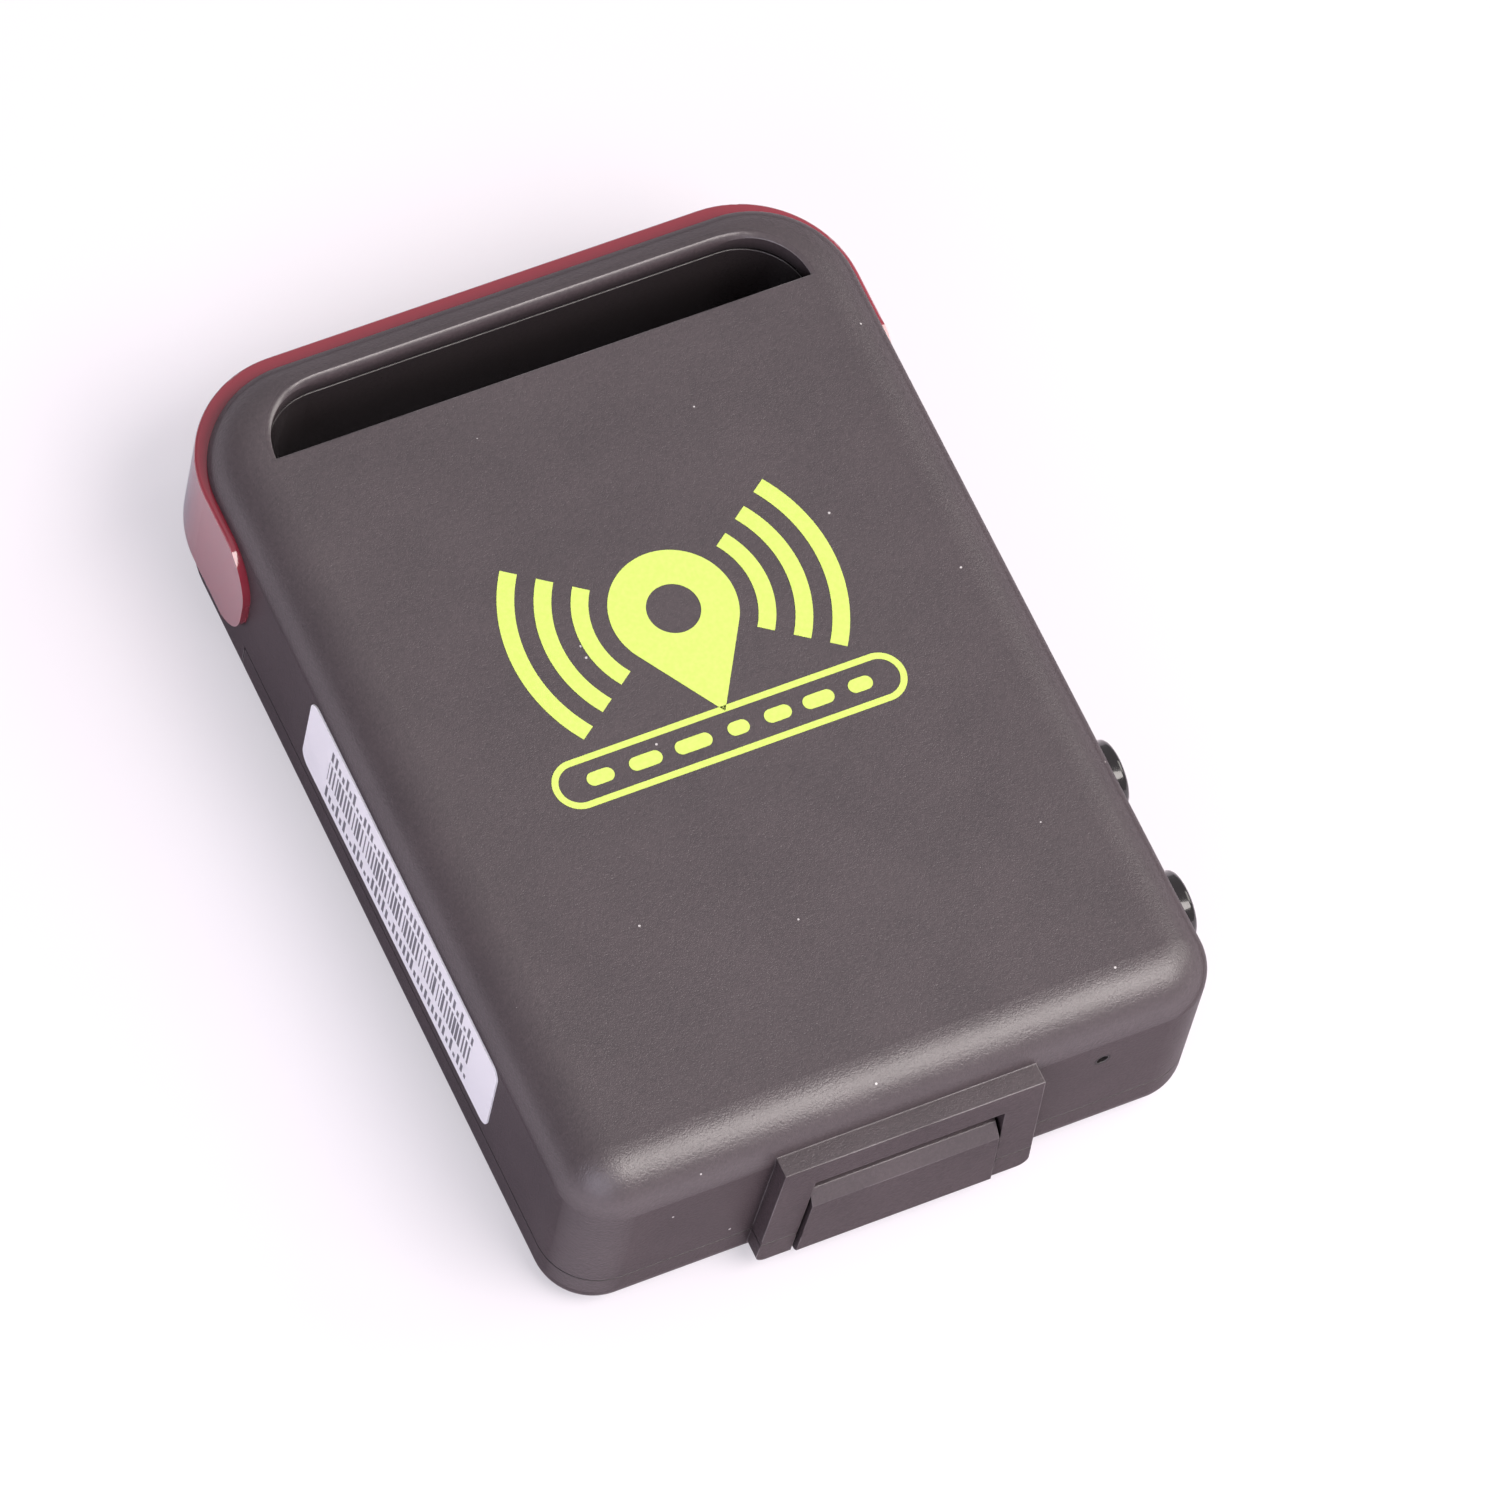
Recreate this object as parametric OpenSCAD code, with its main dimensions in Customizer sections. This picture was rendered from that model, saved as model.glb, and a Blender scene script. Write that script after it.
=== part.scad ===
// Pocket tracker: a moulded box with a strap slot, a tinted end band, two side keys
// and a battery cover that hooks in at the slot end and snaps at the other.
// It lies on its back: X across the width, Y towards the slot end, Z out of the front.
// The origin is on the back face, below the middle of the body.

/* [Body] */
// Width of the body
body_w = 46; // [42:0.5:54]
// Length of the body, without the latch frame
body_l = 64; // [62:0.5:74]
// Thickness of the body
body_t = 16.4; // [16:0.1:20]
// Radius of the upright corners at the latch end
corner_r = 4; // [3.9:0.1:5]
// Radius of the upright corners at the slot end
slot_end_r = 7.2; // [4.5:0.1:7.6]
// Radius round the front face
front_r = 3.6; // [2.4:0.1:3.8]
// Radius round the back face
back_r = 2.2; // [1.6:0.1:3]
// Thickness of the moulded walls
wall = 1.5; // [1.2:0.05:1.8]
// Thickness of the back cover
back_wall = 1.4; // [1:0.05:1.5]
// Height of the parting line above the back
parting_z = 4; // [3.4:0.1:4.6]
// Shadow gap between the battery cover and the front shell
cover_gap = 0.12; // [0.08:0.02:0.3]
// Distance of the battery cover's hooked end from the slot end of the body
seam_from_end = 13.8; // [13:0.1:15]

/* [Strap slot] */
// Width of the strap slot
slot_w = 38.4; // [24:0.2:39]
// Height of the strap slot
slot_h = 4.5; // [4.3:0.05:5]
// Distance from the slot's straight edge to the slot end of the body
slot_from_end = 7.5; // [7:0.1:8]
// Radius of the slot's front lip
lip_r = 0.9; // [0.4:0.1:1.4]
// Width of the lip where it runs out at the slot's straight edge
lip_end_w = 0.35; // [0.1:0.05:0.6]
// Thickness of the tunnel wall round the slot
tunnel_wall = 1.1; // [0.8:0.05:1.3]

/* [Tinted band] */
// How far the band stands out of the sides
band_proud = 0.55; // [0.2:0.05:0.8]
// How far the band stands out of the slot end
band_end_proud = 1.4; // [0.4:0.05:1.6]
// Radius of the band's upright corners
band_corner_r = 8; // [7:0.1:8.4]
// How deep the band is let into the shell
band_seat = 0.5; // [0.3:0.05:0.8]
// Height of the band's front edge above the back
band_top_z = 12.7; // [11:0.1:13.2]
// How far the band reaches down the sides from the slot end
band_reach = 13.4; // [12:0.1:14]
// Radius of the band's rounded ends
band_end_r = 3.6; // [2:0.1:4]
// Rounding of the band's rims
band_edge_r = 0.25; // [0.1:0.05:0.35]

/* [Latch] */
// Width of the latch frame at its top edge
frame_w = 18.4; // [16:0.2:20]
// Width of the opening in the latch frame at its top edge
frame_open_w = 13.2; // [11:0.1:14]
// How much wider the frame and its opening are at the feet
frame_flare = 1.2; // [0:0.1:2]
// Height of the frame's top edge above the back
frame_top_z = 13.65; // [12.6:0.05:14]
// Height of the opening's top edge above the back
frame_open_z = 11; // [10.2:0.05:11.6]
// Height of the frame's feet above the back
frame_foot_z = 1.5; // [1:0.1:2]
// How far the frame stands out of the end wall
frame_proud = 1.35; // [0.8:0.05:1.8]
// Chamfer at the foot of the latch tab
tab_chamfer = 0.25; // [0.1:0.05:0.5]
// Rounding of the lower corners of the frame's feet
foot_r = 0.8; // [0.2:0.1:1.2]
// Gap between the latch tab and the frame
tab_gap = 0.22; // [0.15:0.01:0.6]
// Height of the latch tab's flat face
tab_face_z = 7.9; // [7:0.05:8.6]
// Height of the sloped top of the latch tab
tab_slope_h = 1.05; // [0.6:0.05:1.3]
// Depth of the sloped top of the latch tab
tab_slope_d = 0.82; // [0.4:0.02:1]
// How far the latch tab stands out of the frame
tab_proud = 0.28; // [0.1:0.02:0.5]
// Thickness of the latch tab above the parting line
tab_t = 1.42; // [1.1:0.02:1.5]
// Depth of the pocket in the end wall behind the latch tab
pocket_d = 0.8; // [0.2:0.05:1]

/* [Keys and openings] */
// Radius of a side key
key_r = 2.4; // [1.8:0.05:2.5]
// How far a side key stands out of the body
key_proud = 1.5; // [1:0.05:2.4]
// Travel of a side key
key_travel = 0.4; // [0.2:0.05:0.5]
// Running clearance round a side key
key_clear = 0.08; // [0.05:0.01:0.1]
// Height of the side keys above the back
key_z = 9.4; // [9.3:0.05:9.6]
// Distance of the power key from the latch end
power_key_from_end = 18.9; // [18:0.1:20]
// Distance of the alarm key from the latch end
alarm_key_from_end = 8.7; // [8.7:0.1:9.8]
// Width of the raised ring round a key
ring_w = 0.5; // [0.3:0.05:0.6]
// Height of the raised ring round a key
ring_h = 0.3; // [0.2:0.05:0.6]
// Radius of the microphone hole
mic_hole_r = 0.42; // [0.3:0.02:0.6]
// Distance of the microphone from the side with the keys
mic_from_side = 8.6; // [8.2:0.1:9.2]
// Height of the microphone above the back
mic_z = 10.5; // [10:0.1:10.8]
// Distance of the charging socket from the latch end
usb_from_end = 34; // [32:0.2:36]
// Distance of the side sticker from the latch end
label_from_end = 12.2; // [8:0.2:16]
// Distance between the side sticker and the tinted band
label_to_band = 9.4; // [4:0.2:14]
// Height of the side sticker
label_h = 7.6; // [5:0.1:7.7]
// Thickness of the side sticker
label_t = 0.12; // [0.08:0.02:0.2]

/* [Battery] */
// Width of the battery pack
battery_w = 34; // [28:0.2:40]
// Distance of the battery pack from the latch end
battery_from_end = 7.6; // [7.2:0.1:12]
// Thickness of the battery pack
battery_t = 4.8; // [4:0.05:4.9]

/* [Electronics] */
// Thickness of the circuit board
board_t = 1; // [0.8:0.05:1.2]
// Side of the square satellite antenna
patch_w = 15; // [12:0.5:15.5]
// Thickness of the satellite antenna
patch_t = 4; // [2:0.1:4.2]
// Height of the shield over the phone circuits
gsm_shield_h = 2.6; // [2:0.1:3.2]
// Height of the shield over the satellite receiver
gps_shield_h = 2; // [1.4:0.1:2.8]

/* [Hidden] */
$fn = 64;

// Overrun of a cut past the face it opens
over = 1;
// Seat clearance of pieces that are put in from the back
seat_clear = 0.1;
// Clearance round the pieces inside
bay_clear = 0.3;
end_y = body_l / 2;
side_x = body_w / 2;
inner_x = side_x - wall;
inner_y = end_y - wall;
cover_top_y = end_y - seam_from_end;
step_y = cover_top_y + cover_gap;
step_t = 1.2;

slot_y = end_y - slot_from_end;
// The slot's two rounded corners reach down to its straight edge
slot_corner_r = slot_h;

// Battery pack, in from the hooked end of the cover by the room for its contacts
contact_room = 2.6;
battery_top_y = cover_top_y - contact_room;
battery_low_y = battery_from_end - end_y;
battery_l = battery_top_y - battery_low_y;
battery_z = back_wall + bay_clear;
battery_edge_r = 1;
battery_corner_r = 2;
rail_t = 0.8;
rail_lift = 1.2;
rail_x = battery_w / 2 + bay_clear;

// Bay plate that closes the electronics off from the battery
plate_t = 1;
plate_z = battery_z + battery_t + bay_clear;
plate_top_z = plate_z + plate_t;
plate_end_y = slot_y - tunnel_wall - bay_clear;
board_lift = 1.2;
post_w = 2;
board_z = plate_top_z + board_lift;
board_top_z = board_z + board_t;
board_clear = 0.6;
board_x = inner_x - board_clear;
board_low_y = board_clear - inner_y;
board_top_y = plate_end_y;

boss_r = 1.9;
boss_hole_r = 0.7;
screw_r = 0.62;
screw_head_r = 1.3;
screw_head_h = 1;
screw_l = 4.2;
head_gap = 0.05;
boss_sink = 0.25;
boss_x = inner_x - boss_r + boss_sink;
boss_low_y = boss_r + board_clear - inner_y;
boss_top_y = battery_top_y + screw_head_r + head_gap;
boss_places = [[-boss_x, boss_low_y], [boss_x, boss_low_y], [-boss_x, boss_top_y], [boss_x, boss_top_y]];

power_key_y = power_key_from_end - end_y;
alarm_key_y = alarm_key_from_end - end_y;
key_ys = [power_key_y, alarm_key_y];
key_hole_r = key_r + key_clear;
flange_t = 0.65;
flange_r = key_r + ring_w;
flange_gap = 0.1;
flange_x = inner_x - flange_gap;
key_edge_r = 0.4;
plunger_r = 0.8;
plunger_l = 0.5;
plunger_gap = 0.02;
switch_d = 2.6;
switch_w = 5.2;
switch_h = 2.8;
switch_x = flange_x - flange_t - key_travel - plunger_gap - plunger_l;

usb_w = 7.6;
usb_h = 3.9;
usb_d = 9;
usb_wall = 0.35;
usb_cut = 1.2;
usb_clear = 0.3;
usb_lift = 0.585;
usb_recess = 0.75;
usb_y = usb_from_end - end_y;
usb_z = plate_top_z + usb_lift + usb_h / 2;
usb_face_x = side_x - usb_recess;
usb_back_x = usb_face_x - usb_d;
tongue_w = 3.8;
tongue_h = 0.78;
tongue_l = 7.2;

boot_r = 1.9;
boot_l = 2.2;
boot_floor_t = 0.3;
capsule_r = 1.5;
capsule_l = 1.6;
capsule_clear = 0.04;
mic_x = side_x - mic_from_side;
mic_pad_r = 2.4;
mic_pad_h = 1.2;
mic_pad_y = mic_pad_h - inner_y;

frame_seat = 0.2;
frame_y = -end_y - frame_proud;
tab_y = frame_y - tab_proud;
tab_back_y = tab_y + tab_t;

hook_w = 5;
hook_l = 1.7;
hook_t = 1;
hook_x = 10;
hook_clear = 0.2;
hook_z = back_wall + hook_clear;
// Height that a hook needs while the cover swings about the back edge of its seam
hook_swing_z = norm([hook_l + cover_gap, hook_z + hook_t]) + hook_clear;

led_w = 1.6;
led_l = 3;
led_h = 1.1;
led_y = (step_y + step_t + plate_end_y) / 2;
led_window_l = 2.8;
led_window_h = 2.4;

label_y = label_from_end - end_y;
label_l = body_l - band_reach - label_to_band - label_from_end;
label_z = 5.2;
label_corner_r = 0.95;

card_w = 25;
card_l = 15;
card_t = 0.76;
card_cut = 3;
card_clear = 0.1;
card_offset = 1.6;
holder_rim = 0.7;
holder_gap = 0.25;
holder_w = card_w + 2 * holder_rim;
holder_l = card_l + 2 * holder_rim;
card_x = usb_back_x - holder_gap - holder_w / 2;
card_y = (battery_low_y + battery_top_y) / 2 - card_offset;
holder_z = plate_z + bay_clear;
holder_t = board_z - holder_z;

contact_pitch = 4.2;
contact_w = 1.4;
blade_t = 0.25;
terminal_t = 0.2;
terminal_w = 2;
terminal_h = 2;
terminal_z = battery_z + (battery_t - terminal_h) / 2;

// Pieces on the front of the board, each placed from its neighbour
part_gap = 1.5;
patch_from_top = 3;
patch_y = board_top_y - patch_from_top - patch_w / 2;
patch_corner_r = 1.2;
silvering_w = 12;
silvering_t = 0.1;
chip_w = 8;
chip_h = 1.1;
chip_x = 3;
chip_y = patch_y - patch_w / 2 - part_gap - chip_w / 2;
shield_t = 0.25;
board_edge_room = 1.2;
gps_shield_w = board_x - board_edge_room - patch_w / 2 - part_gap;
gps_shield_l = 12;
gps_shield_x = -patch_w / 2 - part_gap - gps_shield_w / 2;
gps_shield_y = chip_y + part_gap + gps_shield_l / 4;
carrier_w = 22;
carrier_l = 4.2;
carrier_h = 3.4;
carrier_x = -4;
carrier_room = 8;
gsm_shield_w = 22;
gsm_shield_x = -7;
gsm_shield_low_y = board_low_y + carrier_room;
gsm_shield_top_y = chip_y - chip_w / 2 - part_gap;
small_w = 1.6;
small_l = 0.9;
small_h = 0.9;
small_pitch_x = 2.2;
small_pitch_y = 1.83;
small_rows = 4;

// Plain quarter disc in the first quadrant
module quarter(r) {
    intersection() {
        circle(r);
        square(r);
    }
}

// Half section of a block: X runs outward from the corner centre, Y is height
module edge_section(reach, z0, z1, r0, r1) {
    translate([0, z0 + r0])
        square([reach, z1 - z0 - r0 - r1]);
    if (r0 > 0) {
        translate([0, z0])
            square([reach - r0, r0]);
        translate([reach - r0, z0 + r0])
            mirror([0, 1])
                quarter(r0);
    }
    if (r1 > 0) {
        translate([0, z1 - r1])
            square([reach - r1, r1]);
        translate([reach - r1, z1 - r1])
            quarter(r1);
    }
}

// Rounded rectangle in plan, centred, with corners of ra at its -Y end and rb at its +Y end
module plan_rect(w, l, ra, rb) {
    for (x = [-1, 1]) {
        translate([x * (w / 2 - rb), l / 2 - rb])
            circle(rb);
        translate([x * (w / 2 - ra), ra - l / 2])
            circle(ra);
    }
    translate([-w / 2, ra - l / 2])
        square([w, l - ra - rb]);
    translate([rb - w / 2, 0])
        square([w - 2 * rb, l / 2]);
    translate([ra - w / 2, -l / 2])
        square([w - 2 * ra, l / 2]);
}

// Quarter of a soft block, whose far corner is at x, y, with a corner of r
module soft_quarter(x, y, r, z0, z1, r0, r1) {
    translate([x - r, y - r, 0]) {
        rotate_extrude(angle = 90)
            edge_section(r, z0, z1, r0, r1);
        rotate([90, 0, 0])
            linear_extrude(y - r + over)
                edge_section(r, z0, z1, r0, r1);
        mirror([1, 0, 0])
            rotate([90, 0, 90])
                linear_extrude(x - r + over)
                    edge_section(r, z0, z1, r0, r1);
        translate([over - x, over - y, z0])
            cube([x - over + (r - max(r0, r1)) / 2, y - over + (r - max(r0, r1)) / 2, z1 - z0]);
    }
}

// Block with upright corners of ra and rb, back edges of r0 and front edges of r1
module soft_block(w, l, ra, rb, z0, z1, r0, r1) {
    for (x = [0, 1]) {
        mirror([x, 0, 0])
            soft_quarter(w / 2, l / 2, rb, z0, z1, r0, r1);
        mirror([x, 0, 0])
            mirror([0, 1, 0])
                soft_quarter(w / 2, l / 2, ra, z0, z1, r0, r1);
    }
}

// The body's plan, drawn in by inset on every side
module body_plan(inset) {
    plan_rect(body_w - 2 * inset, body_l - 2 * inset, corner_r - inset, slot_end_r - inset);
}

// The body's form, drawn in by inset on every side and at the front
module body_form(inset, z0) {
    soft_block(body_w - 2 * inset, body_l - 2 * inset, corner_r - inset, slot_end_r - inset,
        z0, body_t - inset, 0, front_r - inset);
}

// Slot outline in plan, with a straight edge and two rounded corners
module slot_plan(grow) {
    r = slot_corner_r + grow;
    w = slot_w + 2 * grow;
    h = slot_h + 2 * grow;
    translate([0, slot_y - grow])
        intersection() {
            union() {
                if (grow > 0)
                    translate([-w / 2, 0])
                        square([w, grow]);
                translate([r - w / 2, 0])
                    square([w - 2 * r, h]);
                for (x = [-1, 1])
                    translate([x * (w / 2 - r), h - r])
                        circle(r);
            }
            translate([-w / 2, 0])
                square([w, h]);
        }
}

// Section of what the rounded lip takes away, X outward from the slot's wall
module lip_section() {
    difference() {
        square([lip_r, lip_r + over]);
        translate([lip_r, 0])
            circle(lip_r);
    }
}

// Rounding of the slot's lip, which runs out at the two ends of the straight edge
module lip_cut() {
    cx = slot_w / 2 + lip_end_w - slot_corner_r - lip_r;
    translate([0, slot_y, body_t - lip_r]) {
        for (x = [-1, 1])
            translate([x * cx, 0, 0])
                mirror([x < 0 ? 1 : 0, 0, 0])
                    rotate_extrude(angle = 90)
                        translate([slot_corner_r, 0])
                            lip_section();
        translate([-cx, slot_corner_r, 0])
            rotate([90, 0, 90])
                linear_extrude(2 * cx)
                    lip_section();
    }
}

// Side view of the space that the band fills, extruded across the body
module band_space(gap) {
    z0 = parting_z + gap;
    y0 = end_y - band_reach + gap;
    h = band_top_z - z0 - gap;
    r = band_end_r - gap;
    l = band_reach + 2 * band_end_proud;
    w = body_w + 4 * band_proud;
    translate([-w / 2, y0, z0])
        rotate([90, 0, 90])
            linear_extrude(w) {
                translate([r, 0])
                    square([l - r, h]);
                translate([0, r])
                    square([l, h - 2 * r]);
                for (z = [r, h - r])
                    translate([r, z])
                        circle(r);
            }
}

// Outline of the latch frame seen from the end, with flared legs and rounded feet
module frame_outline() {
    slope = -frame_flare / 2 / (frame_top_z - frame_foot_z);
    secant = norm([1, slope]);
    foot_x = frame_w / 2 + frame_flare / 2;
    turn_x = foot_x + foot_r * (slope - secant);
    side_x = turn_x + foot_r / secant;
    side_z = frame_foot_z + foot_r - foot_r * slope / secant;
    polygon([[turn_x, frame_foot_z], [side_x, side_z], [frame_w / 2, frame_top_z],
        [-frame_w / 2, frame_top_z], [-side_x, side_z], [-turn_x, frame_foot_z]]);
    for (x = [-turn_x, turn_x])
        translate([x, frame_foot_z + foot_r])
            circle(foot_r);
}

// Outline of the frame's opening, drawn in by gap at the sides
module open_outline(gap, z0, z1) {
    slope = frame_flare / 2 / (frame_top_z - frame_foot_z);
    low_x = frame_open_w / 2 + slope * (frame_top_z - z0) - gap;
    top_x = frame_open_w / 2 + slope * (frame_top_z - z1) - gap;
    polygon([[-low_x, z0], [low_x, z0], [top_x, z1], [-top_x, z1]]);
}

// The latch frame from one height to another, reaching back from its face by depth
module frame_body(z0, z1, depth) {
    translate([0, frame_y + depth, 0])
        rotate([90, 0, 0])
            linear_extrude(depth)
                difference() {
                    intersection() {
                        frame_outline();
                        translate([-frame_w, z0])
                            square([2 * frame_w, z1 - z0]);
                    }
                    open_outline(0, frame_foot_z - over, min(frame_open_z, z1 + over));
                }
}

// Places a child at each side key, with its Z axis pointing out of the side
module at_keys(ys) {
    for (y = ys)
        translate([0, y, key_z])
            rotate([0, 90, 0])
                children();
}

// Cut for the charging socket, grown by a clearance
module usb_outline(grow) {
    w = usb_w + 2 * grow;
    h = usb_h + 2 * grow;
    polygon([[-w / 2, h / 2], [w / 2, h / 2], [w / 2, usb_cut - h / 2],
        [w / 2 - usb_cut, -h / 2], [usb_cut - w / 2, -h / 2], [-w / 2, usb_cut - h / 2]]);
}

// Turns a socket outline to look out of the side
module at_usb(x, l) {
    translate([x, usb_y, usb_z])
        rotate([90, 0, 90])
            linear_extrude(l)
                children();
}

module front_shell() {
    color("#655e61")
        difference() {
            union() {
                difference() {
                    body_form(0, parting_z);
                    body_form(wall, parting_z - over);
                }
                translate([0, 0, parting_z])
                    linear_extrude(body_t - parting_z - front_r / 2)
                        intersection() {
                            slot_plan(tunnel_wall);
                            body_plan(wall / 2);
                        }
                frame_body(parting_z, frame_top_z, frame_proud + wall - frame_seat);
                intersection() {
                    body_form(wall / 2, parting_z);
                    for (p = boss_places)
                        translate([p[0], p[1], plate_top_z])
                            cylinder(r = boss_r, h = body_t - plate_top_z);
                }
                translate([side_x - wall / 2, 0, 0])
                    at_keys(key_ys)
                        cylinder(r = key_hole_r + ring_w, h = wall / 2 + ring_h);
                translate([mic_x, mic_pad_y, mic_z])
                    rotate([90, 0, 0])
                        cylinder(r = mic_pad_r, h = mic_pad_h + wall / 2);
            }
            translate([0, 0, -over])
                linear_extrude(body_t + 2 * over)
                    slot_plan(0);
            lip_cut();
            translate([0, pocket_d - end_y, 0])
                rotate([90, 0, 0])
                    linear_extrude(pocket_d + over)
                        open_outline(0, tab_face_z, frame_open_z);
            difference() {
                band_space(0);
                body_form(band_seat, 0);
            }
            for (p = boss_places)
                translate([p[0], p[1], plate_top_z - over])
                    cylinder(r = boss_hole_r, h = screw_l + over);
            translate([inner_x - over, 0, 0])
                at_keys(key_ys)
                    cylinder(r = key_hole_r, h = wall + 2 * over);
            translate([mic_x, -end_y + wall + mic_pad_h + over, mic_z])
                rotate([90, 0, 0])
                    cylinder(r = mic_hole_r, h = wall + mic_pad_h + 2 * over);
            at_usb(inner_x - over, wall + 2 * over)
                usb_outline(usb_clear);
            translate([-side_x, led_y - led_window_l / 2, board_top_z + (led_h - led_window_h) / 2])
                cube([body_w, led_window_l, led_window_h]);
        }
}

// Back block round the slot, hollow, with the tunnel through it
module back_block() {
    z0 = 0;
    difference() {
        intersection() {
            soft_block(body_w, body_l, corner_r, slot_end_r, z0, parting_z, back_r, 0);
            translate([-side_x, step_y, z0])
                cube([body_w, end_y, parting_z]);
        }
        difference() {
            translate([0, 0, back_wall])
                linear_extrude(parting_z)
                    body_plan(wall);
            translate([-side_x, -end_y, 0])
                cube([body_w, end_y + step_y + step_t, body_t]);
            linear_extrude(body_t)
                slot_plan(tunnel_wall);
        }
    }
}

module rear_shell() {
    color("#5b5557")
        difference() {
            union() {
                back_block();
                translate([0, 0, plate_z])
                    linear_extrude(plate_t)
                        difference() {
                            body_plan(wall + seat_clear);
                            translate([-side_x, plate_end_y])
                                square([body_w, body_l]);
                        }
                translate([0, 0, parting_z - step_t])
                    linear_extrude(plate_top_z - parting_z + step_t)
                        intersection() {
                            body_plan(wall + seat_clear);
                            translate([-side_x, step_y])
                                square([body_w, step_t]);
                        }
                for (x = [-rail_x - rail_t, rail_x])
                    translate([x, battery_low_y - rail_t - bay_clear, battery_z + rail_lift])
                        cube([rail_t, battery_l + rail_t, plate_top_z - battery_z - rail_lift]);
                translate([-rail_x, battery_low_y - rail_t - bay_clear, battery_z + rail_lift])
                    cube([2 * rail_x, rail_t, plate_top_z - battery_z - rail_lift]);
                for (x = [-1, 1], y = [board_low_y + 4 * post_w, board_top_y - 2 * post_w])
                    translate([x * board_x / 2 - post_w / 2, y, plate_z])
                        cube([post_w, post_w, plate_t + board_lift]);
            }
            translate([0, 0, -over])
                linear_extrude(body_t)
                    slot_plan(0);
            for (x = [-hook_x, hook_x])
                translate([x - hook_w / 2 - hook_clear, step_y - over, back_wall])
                    cube([hook_w + 2 * hook_clear, step_t + 2 * over, hook_swing_z - back_wall]);
            for (p = boss_places)
                translate([p[0], p[1], plate_z - over])
                    cylinder(r = boss_hole_r, h = plate_t + 2 * over);
            translate([card_x, card_y, plate_z + plate_t / 2])
                cube([holder_w + 2 * bay_clear, holder_l + 2 * bay_clear, plate_t + 2 * over], center = true);
            translate([-contact_pitch - contact_w, battery_top_y + terminal_t, plate_z - over])
                cube([2 * contact_pitch + 2 * contact_w, contact_room - 2 * terminal_t, plate_t + 2 * over]);
            for (y = key_ys)
                translate([switch_x + plunger_l, y - flange_r - bay_clear, plate_z - over])
                    cube([body_w, 2 * flange_r + 2 * bay_clear, plate_t + 2 * over]);
        }
}

// Side view of the latch tab with its sloped top
module tab_section() {
    foot_y = -end_y + wall;
    top_z = tab_face_z + tab_slope_h;
    polygon([[tab_y, frame_foot_z + tab_chamfer], [tab_y + tab_chamfer, frame_foot_z],
        [foot_y, frame_foot_z], [foot_y, parting_z - cover_gap], [tab_back_y, parting_z - cover_gap],
        [tab_back_y, top_z], [tab_y + tab_slope_d, top_z], [tab_y, tab_face_z]]);
}

module battery_cover() {
    rim_z = parting_z - cover_gap;
    color("#5f595b") {
        difference() {
            union() {
                soft_block(body_w, body_l, corner_r, slot_end_r, 0, rim_z, back_r, 0);
                frame_body(frame_foot_z, rim_z, frame_proud + wall / 2);
            }
            soft_block(body_w - 2 * wall, body_l - 2 * wall, corner_r - wall, slot_end_r - wall,
                back_wall, body_t, back_r - back_wall, 0);
            translate([-body_w, cover_top_y, -over])
                cube([2 * body_w, body_l, body_t]);
        }
        intersection() {
            translate([-frame_w / 2, 0, 0])
                rotate([90, 0, 90])
                    linear_extrude(frame_w)
                        tab_section();
            rotate([90, 0, 0])
                linear_extrude(body_l)
                    open_outline(tab_gap, frame_foot_z - over, frame_open_z);
        }
        for (x = [-hook_x, hook_x]) {
            translate([x - hook_w / 2, cover_top_y - hook_l, back_wall - hook_clear])
                cube([hook_w, hook_l, hook_t + 2 * hook_clear]);
            translate([x - hook_w / 2, cover_top_y - hook_l, hook_z])
                cube([hook_w, 2 * hook_l, hook_t]);
        }
    }
}

module window_band() {
    color("#7d1f2c")
        intersection() {
            band_space(0);
            difference() {
                soft_block(body_w + 2 * band_proud, body_l + 2 * band_end_proud, band_corner_r, band_corner_r,
                    parting_z, band_top_z, band_edge_r, band_edge_r);
                body_form(band_seat, 0);
            }
        }
}

module side_label() {
    color("#e6e8f2")
        translate([-side_x - label_t, label_y + label_l / 2, label_z + label_h / 2])
            rotate([90, 0, 90])
                linear_extrude(label_t)
                    plan_rect(label_l, label_h, label_corner_r, label_corner_r);
}

// A side key, its Z axis pointing out of the side
module key_form() {
    tip_x = side_x + key_proud;
    translate([0, 0, flange_x - flange_t])
        cylinder(r = flange_r, h = flange_t);
    rotate_extrude() {
        square([key_r - key_edge_r, tip_x]);
        translate([0, flange_x - flange_t])
            square([key_r, tip_x - key_edge_r - flange_x + flange_t]);
        translate([key_r - key_edge_r, tip_x - key_edge_r])
            quarter(key_edge_r);
    }
}

// A side key with what reaches past the back of its flange cut away
module side_key(y) {
    color("#2b282a")
        difference() {
            at_keys([y])
                key_form();
            translate([-body_w, y - body_w / 2, 0])
                cube([body_w + flange_x - flange_t, body_w, body_t]);
        }
}

module power_key() {
    side_key(power_key_y);
}

module alarm_key() {
    side_key(alarm_key_y);
}

// A side switch with its plunger, soldered into a notch in the board
module side_switch(y) {
    color("#b9b9b4")
        translate([switch_x - switch_d, y - switch_w / 2, key_z - switch_h / 2])
            cube([switch_d, switch_w, switch_h]);
    color("#2b282a")
        at_keys([y])
            translate([0, 0, switch_x - plunger_l])
                cylinder(r = plunger_r, h = 2 * plunger_l);
}

module power_switch() {
    side_switch(power_key_y);
}

module alarm_switch() {
    side_switch(alarm_key_y);
}

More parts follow.
